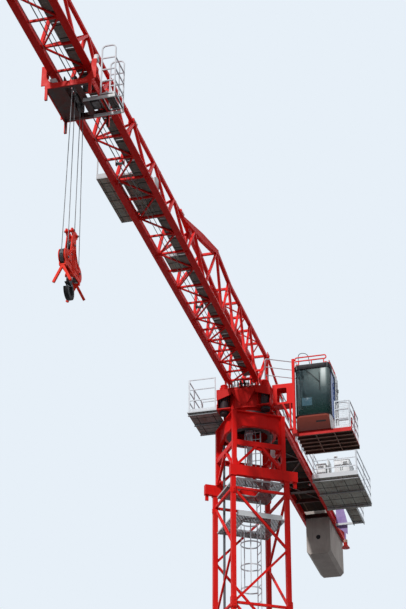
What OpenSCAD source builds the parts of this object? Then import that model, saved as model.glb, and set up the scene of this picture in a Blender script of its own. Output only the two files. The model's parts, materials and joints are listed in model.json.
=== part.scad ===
// Flat-top tower crane with a trolley jib, at half of its real size, in millimetres.
// The jib points along +X, the cab is on the +Y side, and z = 0 is the ground under the mast.

/* [Mast] */
// Distance between the leg centres across one face
mast_w = 1000; // [860:10:1060]
// Width of a leg, a closed box section
leg_w = 80; // [64:1:96]
// Wall of a leg
leg_wall = 8; // [5:0.5:12]
// Height of one mast section
section_h = 2100; // [1800:20:2300]
// Number of mast sections
mast_sections = 6; // [3:1:7]
// Turn of the mast faces from the jib at rest, in degrees
mast_turn = 33; // [0:1:45]
// Width of a lacing bar
lace_w = 42; // [30:1:56]
// Height of the base frame under the legs
base_h = 350; // [300:10:420]
// Width of an anchor foot
foot_w = 340; // [300:10:380]
// Radius of an anchor bolt hole
anchor_r = 14; // [10:0.5:18]
// Radius of the bolt circle in one foot
anchor_circle_r = 170; // [160:1:180]

/* [Tower head] */
// Height of the collar beams
collar_h = 190; // [160:1:220]
// Height of the head frame above the collar beams
head_h = 1095; // [1000:5:1150]
// Height of the slew ring, both halves
ring_h = 115; // [100:1:130]
// Outer radius of the slew ring
ring_r = 440; // [400:2:460]

/* [Turret] */
// Width of the turret between its side plates
turret_w = 480; // [460:2:500]
// Height of the turret box
turret_h = 400; // [360:5:440]
// Distance from the tower axis to the jib foot
jib_foot_x = 500; // [460:5:520]
// Distance from the tower axis back to the counter-jib foot
rear_foot_x = 1000; // [960:10:1100]
// Height of the chord centres above the turret's deck
chord_rise = 128; // [110:1:150]

/* [Jib] */
// Width between the bottom chord centres
jib_w = 490; // [470:2:520]
// Width of a bottom chord
chord_w = 74; // [70:1:84]
// Height of a bottom chord
chord_h = 90; // [80:1:96]
// Width of the single top chord of the outer jib
top_w = 52; // [44:1:60]
// Depth of the outer jib between chord centres
jib_depth = 995; // [900:5:1040]
// Depth at the peak, where the top chord divides in two
peak_depth = 1270; // [1200:5:1320]
// Depth of the root section under its two top chords
root_depth = 1110; // [1060:5:1180]
// Width between the two top chords of the root section
twin_w = 300; // [270:2:330]
// Thickness of the two top chords
twin_t = 60; // [50:1:66]
// Length of one bay of the root section
root_bay = 817; // [780:1:850]
// Length of one bay of the outer jib
bay = 1100; // [1050:5:1150]
// Number of bays of the outer jib
bays = 12; // [10:1:13]
// Width of a jib lacing bar
brace_w = 44; // [36:1:50]
// Width of a bar of the lacing between the bottom chords
cross_w = 24; // [18:1:30]

/* [Counter-jib] */
// Length of the counter-jib behind the turret
counter_len = 6600; // [6400:50:6800]
// Width between the counter-jib girders
counter_w = 600; // [580:5:660]
// Height of a counter-jib girder
girder_h = 175; // [150:5:200]
// Width of a girder flange
girder_w = 60; // [50:1:70]
// Number of counterweight slabs
slabs = 7; // [5:1:7]
// Thickness of one slab
slab_t = 205; // [180:5:210]
// Width of a slab
slab_w = 515; // [470:5:520]
// Height of a slab
slab_h = 1005; // [900:5:1100]

/* [Cab] */
// Width of the cab
cab_w = 645; // [600:5:690]
// Length of the cab at its floor
cab_l = 860; // [800:10:950]
// Height of the cab to its roof
cab_h = 1290; // [1220:10:1360]
// Gap from the tower axis to the cab's inner wall
cab_y = 870; // [860:5:900]
// Thickness of the cab's walls
cab_t = 20; // [14:1:26]

/* [Trolley and hook] */
// Place of the trolley along the jib at rest
trolley_x = 9780; // [9000:10:11000]
// Space between a trolley sheave and the end beam beside it
sheave_space = 4; // [3:1:40]
// Radius of a trolley wheel
wheel_r = 45; // [38:1:52]
// Radius of a rope sheave at the bottom of its groove
sheave_r = 105; // [90:1:112]
// Radius of a hoist rope
rope_r = 7; // [5:0.5:9]
// Drop from the trolley sheaves to the block sheaves at rest
drop = 2718; // [2300:2:3000]

/* [Access] */
// Height of a guard rail over its deck
rail_h = 550; // [500:5:600]
// Thickness of a rail tube
rail_t = 18; // [14:1:24]
// Thickness of a deck
deck_t = 25; // [20:1:30]

/* [Hidden] */

red = "firebrick";
dark_red = "maroon";
zinc = "lightgray";
grey = "gray";
half = mast_w / 2;
mast_top = base_h + mast_sections * section_h;
leg_top = mast_top + 240;
collar_top = leg_top + collar_h;
head_top = collar_top + head_h;
fixed_ring_top = head_top + ring_h * 0.52;
turning_ring_z = fixed_ring_top + 0.5;
turret_z = head_top + ring_h;
plate_t = 20;
deck_z = turret_z + turret_h;
chord_z = deck_z + chord_rise;
outer_z = chord_z + jib_depth;
peak_z = chord_z + peak_depth;
twin_z = chord_z + root_depth;
root_end = jib_foot_x + 3 * root_bay;
jib_end = root_end + bays * bay;
knee_x = root_end - 950;
pin_x = root_end - 650;
peak_x = root_end;
branch_x = root_end + 1.5 * bay;
apex_x = -800;
chord_y = jib_w / 2;
twin_y = twin_w / 2;
counter_z = deck_z + 40;
girder_top = counter_z + girder_h;
counter_end = -rear_foot_x - counter_len;
girder_y = counter_w / 2;
cab_x0 = 90;
cab_z = head_top - 230;
platform_z = cab_z - deck_t;
glass_z0 = cab_z + 250;
rail_flange = 30;
flange_t = 10;
wheel_w = 22;
foot_lug_t = 30;
tie_t = 36;
tie_x = counter_end + 2960;
weights_x = counter_end + 65;
weights_end = weights_x + slabs * (slab_t + 0.5);
flange_top = chord_z - chord_h / 2 + flange_t;
wheel_y = chord_y + chord_w / 2 + 5.2 + wheel_w / 2;
axle_z = flange_top + wheel_r + 0.3;
trolley_y = wheel_y + wheel_w / 2 + 10;
trolley_beam_z = chord_z - 330;
sheave_z = trolley_beam_z + 130;
block_z = sheave_z - drop;
fall_x = sheave_r + rope_r + 0.3;
end_beam_w = 60;
trolley_l = 2 * (2 * fall_x + sheave_r + 12 + sheave_space + end_beam_w);
stagger = 41;
cheek_y = stagger + 20 + 6.3;
cheek_t = 12;
wing_y = 499.7;
motor_x = 365;
motor_y = 385;

// A square bar from a to b
module bar(a, b, t) {
    v = b - a;
    l = norm(v);
    translate(a) rotate([0, acos(v.z / l), atan2(v.y, v.x)])
        translate([-t / 2, -t / 2, 0]) cube([t, t, l]);
}

// A flat bar from a to b, w wide across its face and t thick
module flat_bar(a, b, w, t) {
    v = b - a;
    l = norm(v);
    translate(a) rotate([0, acos(v.z / l), atan2(v.y, v.x)])
        translate([-w / 2, -t / 2, 0]) cube([w, t, l]);
}

// A plate given by its outline in X and Z, centred on y
module plate_xz(points, y, t) {
    translate([0, y + t / 2, 0]) rotate([90, 0, 0]) linear_extrude(t) polygon(points);
}

// A cylinder along Y, centred on its length
module pin_y(r, l) {
    rotate([90, 0, 0]) cylinder(r = r, h = l, center = true, $fn = 32);
}

// One straight panel of guard rail from a to b, with its posts, three bars and a toe board
module rail_panel(a, b, h, posts = 2) {
    l = norm(b - a);
    translate(a) rotate([0, 0, atan2(b.y - a.y, b.x - a.x)]) {
        for (i = [0 : posts - 1]) translate([i * (l - rail_t) / (posts - 1), -rail_t / 2, 0])
            cube([rail_t, rail_t, h]);
        for (z = [h / 3, h * 2 / 3, h - rail_t]) translate([0, -rail_t / 2 + 1, z]) cube([l, rail_t - 2, rail_t - 1]);
        translate([0, -2, 2]) cube([l, 4, 50]);
    }
}

// Panels of guard rail along a list of corners, with a seam at each corner
module guard_rail(points, h) {
    for (i = [0 : len(points) - 2]) {
        a = points[i];
        b = points[i + 1];
        d = (b - a) / norm(b - a) * (rail_t / 2 + 0.3);
        last = i == len(points) - 2;
        rail_panel(i == 0 ? a : a + d, last ? b : b - d, h, max(2, round(norm(b - a) / 700) + 1));
    }
}

// One of the mast's own pieces, turned with the mast
module on_mast() {
    rotate([0, 0, mast_turn]) children();
}

module box_tube(w, h, wall) {
    difference() {
        translate([-w / 2, -w / 2, 0]) cube([w, w, h]);
        translate([-w / 2 + wall, -w / 2 + wall, -1]) cube([w - 2 * wall, w - 2 * wall, h + 2]);
    }
}

module base_frame() {
    plate = 30;
    beam_h = 150;
    color(red) on_mast() difference() {
        union() {
            for (a = [0 : 3]) rotate([0, 0, 90 * a]) {
                translate([half - foot_w / 2, half - foot_w / 2, 0]) cube([foot_w, foot_w, plate]);
                translate([half, half, plate]) box_tube(leg_w + 24, base_h - plate, 12);
                translate([half, -half + foot_w / 2, plate])
                    translate([-30, 0, 0]) cube([60, mast_w - foot_w, 70]);
                for (s = [-1, 1]) {
                    translate([half + s * (leg_w / 2 + 12), half - 6, plate - 1])
                        rotate([90, 0, 90 - 90 * s]) translate([0, 0, -6 * (1 + s)])
                        linear_extrude(12) polygon([[0, 0], [90, 0], [0, 150]]);
                }
            }
            for (a = [45, 135]) rotate([0, 0, a]) {
                length = mast_w * sqrt(2) - foot_w * 0.9;
                translate([-length / 2, -60, 0]) cube([length, 120, 14]);
                translate([-length / 2, -7, 0]) cube([length, 14, beam_h]);
                translate([-length / 2, -60, beam_h - 14]) cube([length, 120, 14]);
            }
        }
        for (a = [0 : 3]) rotate([0, 0, 90 * a])
            translate([half, half, -1]) for (b = [0 : 3]) rotate([0, 0, 45 + 90 * b])
                translate([anchor_circle_r, 0, 0]) cylinder(r = anchor_r, h = plate + 2, $fn = 32);
    }
}

module mast_legs() {
    pad = 12;
    color(red) on_mast() for (a = [0 : 3]) rotate([0, 0, 90 * a]) translate([half, half, 0]) {
        translate([0, 0, base_h]) box_tube(leg_w, leg_top - base_h - 20, leg_wall);
        translate([-leg_w / 2 - 14, -leg_w / 2 - 14, leg_top - 20]) cube([leg_w + 28, leg_w + 28, 20]);
        for (n = [1 : mast_sections - 1]) translate([0, 0, base_h + n * section_h - 90]) {
            translate([leg_w / 2, -leg_w / 2, 0]) cube([pad, leg_w + pad, 180]);
            translate([-leg_w / 2, leg_w / 2, 0]) cube([leg_w + pad, pad, 180]);
        }
    }
}

// Lacing of one face: zigzag bars in four steps to a section, and a bar at each joint
module mast_side(turn) {
    step = section_h / 2;
    inner = mast_w - leg_w;
    color(red) on_mast() rotate([0, 0, turn]) intersection() {
        translate([half - 60, -inner / 2, base_h]) cube([120, inner, mast_sections * section_h + 40]);
        union() {
            for (n = [0 : mast_sections * 2 - 1]) {
                z = mast_top - n * step;
                side = n % 2 == 0 ? -1 : 1;
                flat_bar([half, side * half, z], [half, -side * half, z - step], lace_w, lace_w - 6 - 6 * (n % 2));
            }
            for (n = [0 : mast_sections])
                translate([half - lace_w / 2, -half, mast_top - n * section_h - lace_w / 2])
                    cube([lace_w, mast_w, lace_w]);
        }
    }
}

ladder_y = 150;
ladder_w = 190;
cage_r = 185;
cable_r = 22;
cable_x = -half + 150;
cable_y = -half + 120;

module mast_ladders() {
    color(zinc) on_mast() for (f = [0 : mast_sections - 1]) {
        a = base_h + f * section_h + 5;
        b = a + section_h - 0.3;
        top = a + 420 + floor((b - 100 - a - 420) / 420) * 420;
        for (s = [-1, 1]) translate([s * ladder_w / 2 - 10, ladder_y - 6, a]) cube([20, 12, b - a]);
        for (z = [a + 70 : 150 : b - 60]) translate([-ladder_w / 2, ladder_y - 5, z])
            cube([ladder_w, 10, 12]);
        translate([0, ladder_y - cage_r + 30, 0]) {
            for (z = [a + 420 : 420 : top]) translate([0, 0, z]) difference() {
                cylinder(r = cage_r, h = 24, $fn = 32);
                translate([0, 0, -1]) cylinder(r = cage_r - 6, h = 26, $fn = 32);
                translate([-cage_r, cage_r - 30 - 6.3, -1]) cube([2 * cage_r, cage_r, 26]);
            }
            for (t = [200, 270, 340]) rotate([0, 0, t])
                translate([cage_r - 5.5, -10, a + 422]) cube([5, 20, top - a - 400]);
        }
    }
}

module rest_platforms() {
    inner = mast_w - lace_w - 0.6;
    levels = concat([for (n = [1 : mast_sections]) base_h + n * section_h - 500], [leg_top - 60]);
    color(zinc) on_mast() for (z = levels)
        translate([0, 0, z]) difference() {
            union() {
                translate([-inner / 2, -inner / 2, 0]) cube([inner, inner, deck_t]);
                for (s = [-1, 1]) translate([s * (inner / 2 - 5) - 4, -inner / 2 + 60, deck_t - 1])
                    cube([8, inner - 120, z > mast_top ? 12 : 70]);
            }
            for (a = [0 : 3]) rotate([0, 0, 90 * a])
                translate([half - leg_w / 2 - 0.3, half - leg_w / 2 - 0.3, -1]) cube([leg_w, leg_w, deck_t + 2]);
            translate([-cage_r - 10, ladder_y - 2 * cage_r + 10, -1])
                cube([2 * cage_r + 20, 2 * cage_r - 10 + 6.3, deck_t + 2]);
            translate([cable_x, cable_y, -1]) cylinder(r = cable_r + 0.3, h = deck_t + 2, $fn = 24);
        }
}

module power_cable() {
    color("dimgray") on_mast() translate([cable_x, cable_y, base_h + 60])
        cylinder(r = cable_r, h = head_top - base_h - 400, $fn = 24);
}

module collar_beams() {
    beam_w = 90;
    color(red) on_mast() for (a = [0, 180]) rotate([0, 0, a]) {
        translate([half - beam_w / 2, -half - 60, leg_top]) cube([beam_w, mast_w + 260, collar_h]);
        translate([half - 14, half + 130, leg_top - 110]) cube([28, 60, 110]);
    }
}

// Outline of the arched opening in a face of the tower head, larger by g all round
module arch_outline(w, z0, z1, r, g) {
    translate([-w / 2 - g, z0]) square([w + 2 * g, z1 - z0 - r]);
    translate([-w / 2 + r, z0]) square([w - 2 * r, z1 - z0 + g]);
    for (s = [-1, 1]) translate([s * (w / 2 - r), z1 - r]) circle(r = r + g, $fn = 64);
}

module tower_head() {
    post = 74;
    edge = half - 2;
    web = edge - 52;
    bulge = 170;
    drum_r = sqrt(web * web + bulge * bulge);
    arch_z = head_h - 580;
    arch_top = head_h - 275;
    arch_w = 2 * (edge - post - 12);
    bar_h = 95;
    gusset = 150;
    color(red) on_mast() translate([0, 0, collar_top]) difference() {
        union() {
            for (a = [0 : 3]) rotate([0, 0, 90 * a]) {
                translate([edge - post, edge - post, 0]) cube([post, post, head_h - 5]);
                translate([web - 14, 0, 0]) rotate([90, 0, 90]) linear_extrude(14) difference() {
                    translate([-web + 9, arch_z - 30]) square([2 * web - 18, head_h - arch_z + 20]);
                    arch_outline(arch_w, arch_z - 40, arch_top, 175, 5);
                }
                translate([web - 60, 0, 0]) rotate([90, 0, 90]) linear_extrude(56) difference() {
                    arch_outline(arch_w, arch_z - 20, arch_top, 175, 10);
                    arch_outline(arch_w, arch_z - 30, arch_top, 175, 0);
                }
                translate([edge - 56, -edge + 8, arch_z - bar_h]) cube([50, 2 * edge - 16, bar_h]);
                for (s = [-1, 1]) {
                    bar([edge - 31, s * (edge - post - 10), 36], [edge - 31, s * 46, arch_z - bar_h + 16], s > 0 ? 46 : 44);
                    translate([edge - 42, s * (edge - post + 2), 3]) rotate([90, 0, 90]) scale([-s, 1, 1]) linear_extrude(14)
                        difference() {
                            square([gusset + 2, gusset + 12]);
                            translate([gusset + 4, gusset + 14]) circle(r = gusset - 14, $fn = 64);
                            translate([gusset - 30, gusset - 30]) square(60);
                        }
                }
                translate([edge - 38, 0, arch_z - bar_h]) rotate([90, 0, 90]) linear_extrude(14)
                    polygon([[-130, 20], [130, 20], [60, -58], [-60, -58]]);
            }
            translate([-edge, -edge, head_h - 20]) cube([2 * edge, 2 * edge, 20]);
            difference() {
                translate([0, 0, arch_top + 3]) cylinder(r = drum_r, h = head_h - 12 - arch_top, $fn = 96);
                translate([0, 0, arch_top + 17]) cylinder(r = drum_r - 14, h = head_h, $fn = 96);
                translate([0, 0, arch_top]) cylinder(r = 320, h = 40, $fn = 64);
            }
        }
        translate([0, 0, head_h - 31]) cylinder(r = ring_r - 90, h = 40, $fn = 64);
    }
}

module slew_ring() {
    color(grey) translate([0, 0, head_top + 0.3]) difference() {
        cylinder(r = ring_r, h = fixed_ring_top - head_top - 0.3, $fn = 96);
        translate([0, 0, -1]) cylinder(r = ring_r - 90, h = ring_h, $fn = 96);
    }
}

module turret_frame() {
    y = turret_w / 2 - 8;
    box_z = turret_z + plate_t;
    rear_z = deck_z - 170;
    drum_r = ring_r - 10;
    wing_x = jib_foot_x - 250;
    color(dark_red) difference() {
        union() {
            translate([0, 0, turning_ring_z]) cylinder(r = drum_r, h = turret_z - turning_ring_z + 1, $fn = 96);
            translate([0, 0, turret_z]) cylinder(r = ring_r + 40, h = plate_t, $fn = 96);
            difference() {
                translate([0, 0, box_z - 1]) cylinder(r = drum_r, h = deck_z - box_z - 6, $fn = 96);
                translate([0, 0, box_z - 2]) cylinder(r = drum_r - 14, h = deck_z - box_z - 18, $fn = 96);
            }
            // the prow under the jib's feet, which comes down to a point on the drum
            hull() {
                translate([drum_r - 130, -turret_w / 2, deck_z - 40]) cube([jib_foot_x - drum_r + 126, turret_w, 30]);
                translate([drum_r - 40, -6, box_z]) cube([36, 12, 12]);
            }
            for (s = [-1, 1]) {
                plate_xz([[-drum_r * 0.8, deck_z + 1], [-drum_r * 0.8, box_z - 1], [-560, box_z - 1], [-rear_foot_x, rear_z],
                    [-rear_foot_x, deck_z + 1]], s * y, 16);
                // a wing that carries a slewing gear motor, open at its lower front
                translate([wing_x, s * (turret_w / 2 + wing_y) / 2 - (wing_y - turret_w / 2) / 2, turret_z + 2])
                    cube([jib_foot_x - wing_x, wing_y - turret_w / 2, plate_t - 2]);
                translate([wing_x - 20, s * (turret_w / 2 - 60 + wing_y) / 2 - (wing_y + 60 - turret_w / 2) / 2, deck_z - 14])
                    cube([jib_foot_x - wing_x + 18, wing_y + 60 - turret_w / 2, 14]);
                plate_xz([[wing_x + 3, turret_z + 4], [jib_foot_x - 3, turret_z + 4], [jib_foot_x - 3, turret_z + 90],
                    [jib_foot_x - 50, turret_z + 150], [jib_foot_x - 50, turret_z + 210], [jib_foot_x - 3, turret_z + 250],
                    [jib_foot_x - 3, deck_z - 4], [wing_x + 3, deck_z - 4]], s * (wing_y - 7), 14);
                translate([jib_foot_x - 18, 0, 0]) rotate([90, 0, 90]) scale([s, 1, 1]) linear_extrude(14)
                    polygon([[turret_w / 2 - 12, deck_z - 4], [wing_y - 3, deck_z - 4], [wing_y - 3, deck_z - 210],
                        [turret_w / 2 - 12, deck_z - 120]]);
                translate([wing_x + 4, s * (turret_w / 2 + 105) - 138, turret_z + 10])
                    cube([12, 276, deck_z - turret_z - 20]);
            }
            for (x = [-620, -rear_foot_x + 2]) translate([x, -y, rear_z + 10]) cube([16, 2 * y, deck_z - rear_z - 8]);
            translate([-rear_foot_x - 1, -turret_w / 2 - 10, deck_z]) cube([jib_foot_x + rear_foot_x, turret_w + 20, 14]);
            translate([jib_foot_x - 112, -chord_y - 40, deck_z + 1]) cube([110, 2 * chord_y + 80, 12]);
            translate([-rear_foot_x + 1, -girder_y - 30, deck_z + 1]) cube([110, 2 * girder_y + 60, 12]);
            for (s = [-1, 1], e = [-1, 1]) {
                plate_xz([[jib_foot_x - 110, deck_z + 8], [jib_foot_x - 70, chord_z + 36], [jib_foot_x - 0.5, chord_z + 36],
                    [jib_foot_x - 4, deck_z + 8]], s * chord_y + e * (foot_lug_t / 2 + 7.3), 14);
                plate_xz([[-rear_foot_x + 90, deck_z + 8], [-rear_foot_x + 40, girder_top - 12], [-rear_foot_x - 70, girder_top - 12],
                    [-rear_foot_x - 70, counter_z + 12], [-rear_foot_x + 3, counter_z + 12], [-rear_foot_x + 3, deck_z + 8]],
                    s * girder_y + e * 12.3, 14);
            }
            for (s = [-1, 1]) {
                translate([jib_foot_x - 35, s * chord_y, chord_z]) pin_y(14, foot_lug_t + 52);
                translate([-rear_foot_x - 35, s * girder_y, counter_z + girder_h / 2]) pin_y(14, 60);
            }
        }
        translate([0, 0, turning_ring_z - 1]) cylinder(r = ring_r - 100, h = ring_h + plate_t + 2, $fn = 64);
        for (s = [-1, 1]) {
            translate([motor_x, s * motor_y, turret_z - 1]) cylinder(r = 75.3, h = 22, $fn = 48);
            translate([motor_x, s * motor_y, deck_z - 16]) cylinder(r = 64.3, h = 32, $fn = 48);
        }
    }
}

module slew_motors() {
    pinion_r = norm([motor_x, motor_y]) - ring_r - 5;
    color("orangered") for (s = [-1, 1]) translate([motor_x, s * motor_y, turret_z + plate_t + 0.3]) {
        cylinder(r = 97, h = 24, $fn = 48);
        translate([0, 0, 24]) cylinder(r = 86, h = 150, $fn = 48);
        translate([0, 0, 174]) cylinder(r = 74, h = 60, $fn = 48);
        translate([0, 0, 234]) cylinder(r = 64, h = turret_h - plate_t - 234 + 100, $fn = 48);
        translate([0, 0, turret_h - plate_t + 100]) cylinder(r = 56, h = 34, $fn = 48);
        translate([0, 0, -60]) cylinder(r = 75, h = 60, $fn = 48);
        translate([0, 0, -78]) cylinder(r = pinion_r, h = 54, $fn = 48);
    }
}

service_x0 = -450;
service_x1 = 500;
service_y0 = 1050;
service_y1 = 500;
service_z = turret_z + deck_t;

module service_platform() {
    color(zinc) difference() {
        union() {
            translate([service_x0, -service_y0, turret_z])
                cube([service_x1 - service_x0, service_y0 - service_y1, deck_t]);
            for (x = [-220, 190]) translate([x, -service_y1 - 10, turret_z + 2]) cube([40, service_y1 - 300, 18]);
            for (x = [service_x0 + 30, -10, service_x1 - 70]) difference() {
                translate([x, -service_y0 + 4, turret_z - 44]) cube([44, service_y0 - service_y1 - 8, 45]);
                translate([x + 5, -service_y0, turret_z - 39]) cube([40, service_y0 - service_y1, 34]);
            }
        }
        translate([0, 0, turret_z - 1]) cylinder(r = ring_r + 40.3, h = deck_t + 2, $fn = 96);
    }
}

module service_rails() {
    y0 = -service_y0 + rail_t;
    color(zinc) guard_rail([[service_x0 + rail_t, -service_y1 - 20, service_z], [service_x0 + rail_t, y0, service_z],
        [100, y0, service_z], [service_x1 - rail_t, y0, service_z],
        [service_x1 - rail_t, -service_y1 - 20, service_z]], rail_h + 100);
}

module a_frame() {
    t = 60;
    foot_z = deck_z + 14;
    lug_z = twin_z + 70;
    color(red) difference() {
        union() {
            for (s = [-1, 1]) {
                translate([apex_x - t / 2, s * twin_y - t / 2, foot_z]) cube([t, t, twin_z + 60 - foot_z]);
                bar([apex_x + 60, s * twin_y, twin_z - 70], [jib_foot_x - 170, s * (twin_y + 15), deck_z - 60], t - 4);
                for (e = [-1, 1])
                    plate_xz([[apex_x - t / 2 - 90, lug_z - 34], [apex_x - t / 2 + 10, twin_z - 60], [apex_x + 24, twin_z - 60],
                        [apex_x + 24, lug_z + 40], [apex_x - t / 2 - 90, lug_z + 34]],
                        s * twin_y + e * (tie_t / 2 + 7.3), 12);
                translate([apex_x - t / 2 - 45, s * twin_y, lug_z]) pin_y(14, tie_t + 52);
                translate([apex_x, s * twin_y, twin_z]) pin_y(24, t + 40);
            }
            for (h = [0.32, 0.66])
                translate([apex_x - 22, -twin_y, deck_z + h * root_depth]) cube([44, twin_w, 44]);
            for (h = [0.42, 0.72])
                translate([apex_x + 60 + (jib_foot_x - 230 - apex_x) * (1 - h) - 18, -twin_y, deck_z + h * (root_depth - 30)])
                    cube([36, twin_w, 36]);
        }
        translate([-5000, -1000, deck_z - 500]) cube([10000, 2000, 514]);
        translate([apex_x + t / 2 + 0.15, -500, twin_z - twin_t / 2 - 0.3]) cube([500, 1000, 300]);
    }
}

module counter_jib_ties() {
    a = [apex_x - 75, twin_z + 70];
    b = [tie_x, girder_top + 60];
    l = norm(b - a);
    color(red) for (s = [-1, 1]) translate([a.x, s * twin_y, a.y]) rotate([0, 180 + atan2(b.y - a.y, a.x - b.x), 0])
        difference() {
            union() {
                translate([0, -tie_t / 2, -26]) cube([l, tie_t, 52]);
                for (x = [0, l]) translate([x, 0, 0]) pin_y(30, tie_t);
            }
            for (x = [0, l]) translate([x, 0, 0]) pin_y(14.3, tie_t + 10);
        }
}

bracket_x = 250;
post_y = cab_y - 35;

// A window in a plate, w by h, with corners of radius r
module round_window(w, h, r) {
    translate([0, r]) square([w, h - 2 * r]);
    translate([r, 0]) square([w - 2 * r, h]);
    for (x = [r, w - r], y = [r, h - r]) translate([x, y]) circle(r = r, $fn = 32);
}

module cab_bracket() {
    top = deck_z + 220;
    low = deck_z - 190;
    y0 = turret_w / 2 + 10;
    y1 = post_y - 25;
    window_y = 520;
    window_w = 180;
    strut_y = 765;
    face_x = bracket_x - 240;
    depth = 220;
    color(red) difference() {
        union() {
            for (x = [face_x, face_x - depth]) translate([x - 12, 0, 0]) rotate([90, 0, 90]) linear_extrude(12)
                difference() {
                    polygon([[y0, low - 60], [y0, deck_z - 10], [440, top], [y1 + 5, top], [y1 + 5, low], [440, low]]);
                    translate([window_y, deck_z - 150]) round_window(window_w, 290, 28);
                }
            for (z = [top - 14, low + 2]) translate([face_x - depth - 2, 425, z]) cube([depth - 8, y1 - 420, 12]);
            translate([face_x - 28, y1, cab_z]) cube([50, 50, deck_z + 700 - cab_z]);
            bar([face_x - 6, 620, low + 8], [face_x - 6, strut_y, low - 300], 26);
            translate([face_x - 6, strut_y, cab_z + 30]) cylinder(r = 16, h = low - cab_z - 24, $fn = 24);
            translate([face_x - 39, strut_y - 35, cab_z + 20]) cube([66, y1 + 5 - strut_y + 35, 16]);
        }
        translate([0, 0, deck_z - 400]) cylinder(r = ring_r - 9.7, h = 700, $fn = 96);
    }
}

walk_x0 = -925;
walk_x1 = -90;
walk_w = 1020;

module cab_platform() {
    y0 = cab_y - 38;
    color(dark_red) {
        translate([walk_x0, y0, platform_z]) cube([walk_x1 - walk_x0, walk_w, deck_t]);
        for (i = [0 : 5]) translate([walk_x0 + 1 + i * (walk_x1 - walk_x0 - 22) / 5, y0 + 1, platform_z - 50])
            cube([20, walk_w - 2, 51]);
        for (y = [0.35, 0.68]) translate([walk_x0 + 2, y0 + y * walk_w, platform_z - 46]) cube([walk_x1 - walk_x0 - 4, 14, 47]);
        // the corner that carries the cab's post
        translate([walk_x1 - 10, y0 - 32, platform_z - 52]) cube([135, 82, deck_t + 52]);
    }
}

module cab_walkway_rails() {
    z = platform_z + deck_t;
    y1 = cab_y - 38 + walk_w - rail_t;
    x0 = walk_x0 + rail_t;
    x1 = walk_x1 - rail_t;
    color(zinc) guard_rail([[x1, cab_y + cab_w + 40, z], [x1, y1, z], [(x0 + x1) / 2, y1, z], [x0, y1, z],
        [x0, cab_y - 10, z]], rail_h);
}

// Cab outline in X and Z: a leaning front over a nose that slopes back, and a level roof
function cab_outline(inset) = [[cab_x0 - 150 - inset, cab_z + inset], [cab_x0 - 10 - inset, cab_z + 205],
    [cab_x0 - inset, glass_z0], [cab_x0 - 40 - inset, cab_z + cab_h - inset],
    [cab_x0 - cab_l + inset, cab_z + cab_h - inset], [cab_x0 - cab_l + inset, cab_z + inset]];

cab_round = 120;

// The cab's form, smaller by inset all round: the side outline within a plan with round front corners
module cab_form(inset) {
    r = cab_round - inset;
    intersection() {
        translate([0, cab_y + cab_w - inset, 0]) rotate([90, 0, 0]) linear_extrude(cab_w - 2 * inset) polygon(cab_outline(inset));
        translate([0, 0, cab_z - 10]) linear_extrude(cab_h + 20) union() {
            translate([cab_x0 - cab_l - 10, cab_y + inset]) square([cab_l + 10 - cab_round, cab_w - 2 * inset]);
            translate([cab_x0 - cab_l, cab_y + cab_round]) square([cab_l - inset, cab_w - 2 * cab_round]);
            for (y = [cab_y + cab_round, cab_y + cab_w - cab_round]) translate([cab_x0 - cab_round, y]) circle(r = r, $fn = 64);
        }
    }
}

// Where the cab is glazed: round the front, and beside the operator behind a thin post
module cab_glazing(g) {
    h = cab_h - 345 - 2 * g;
    translate([cab_x0 - cab_round - 6 + g, cab_y - 20, glass_z0 + g]) cube([cab_round + 100, cab_w + 40, h]);
    translate([cab_x0 - 540 + g, cab_y - 20, glass_z0 + g]) cube([540 - cab_round - 30 - 2 * g, cab_w + 40, h]);
}

module cab_shell() {
    color("whitesmoke") difference() {
        cab_form(0);
        cab_form(cab_t);
        cab_glazing(0);
    }
}

module cab_windows() {
    color("lightblue") intersection() {
        difference() {
            cab_form(6);
            cab_form(14);
        }
        cab_glazing(0.3);
    }
}

module cab_seat() {
    floor_z = cab_z + cab_t;
    cy = cab_y + cab_w / 2;
    color("darkslategray") {
        translate([cab_x0 - 560, cy - 60, floor_z]) cube([120, 120, 200]);
        translate([cab_x0 - 640, cy - 130, floor_z + 200]) cube([260, 260, 60]);
        translate([cab_x0 - 660, cy - 120, floor_z + 260]) cube([60, 240, 380]);
        for (s = [-1, 1]) translate([cab_x0 - 580, cy + s * 185 - 45, floor_z]) cube([240, 90, 330]);
    }
}

// Two hoops of tube over the cab's roof on their feet, with a clamp block at each corner
module cab_roof_rails() {
    z = cab_z + cab_h;
    t = rail_t;
    hoop_h = 92;
    w = cab_w - 45;
    l = cab_l - 250;
    color(red) {
        translate([cab_x0 - 100, cab_y - 8, z + 96]) rotate([90, 0, 90]) linear_extrude(t) difference() {
            round_window(w, hoop_h, 42);
            translate([t, t]) round_window(w - 2 * t, hoop_h - 2 * t, 42 - t);
        }
        for (y = [60, w / 2, w - 70]) translate([cab_x0 - 99, cab_y + y, z]) cube([t - 2, t - 2, 98]);
        for (y = [14, w - 46]) translate([cab_x0 - 108, cab_y + y, z]) cube([34, 42, 34]);
        translate([cab_x0 - 170 - l, cab_y + cab_w - 20, z + 24]) rotate([90, 0, 0]) linear_extrude(t) difference() {
            round_window(l, hoop_h, 42);
            translate([t, t]) round_window(l - 2 * t, hoop_h - 2 * t, 42 - t);
        }
        for (x = [60, l - 60]) translate([cab_x0 - 170 - l + x, cab_y + cab_w - 20 - t + 1, z]) cube([t - 2, t - 2, 26]);
        translate([cab_x0 - 200 - l, cab_y + cab_w - 58, z]) cube([28, 48, 64]);
    }
}

module i_girder(l, h, w, t) {
    translate([0, -w / 2, 0]) cube([l, w, t]);
    translate([0, -w / 2, h - t]) cube([l, w, t]);
    translate([0, -t / 2, 0]) cube([l, t, h]);
}

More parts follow.
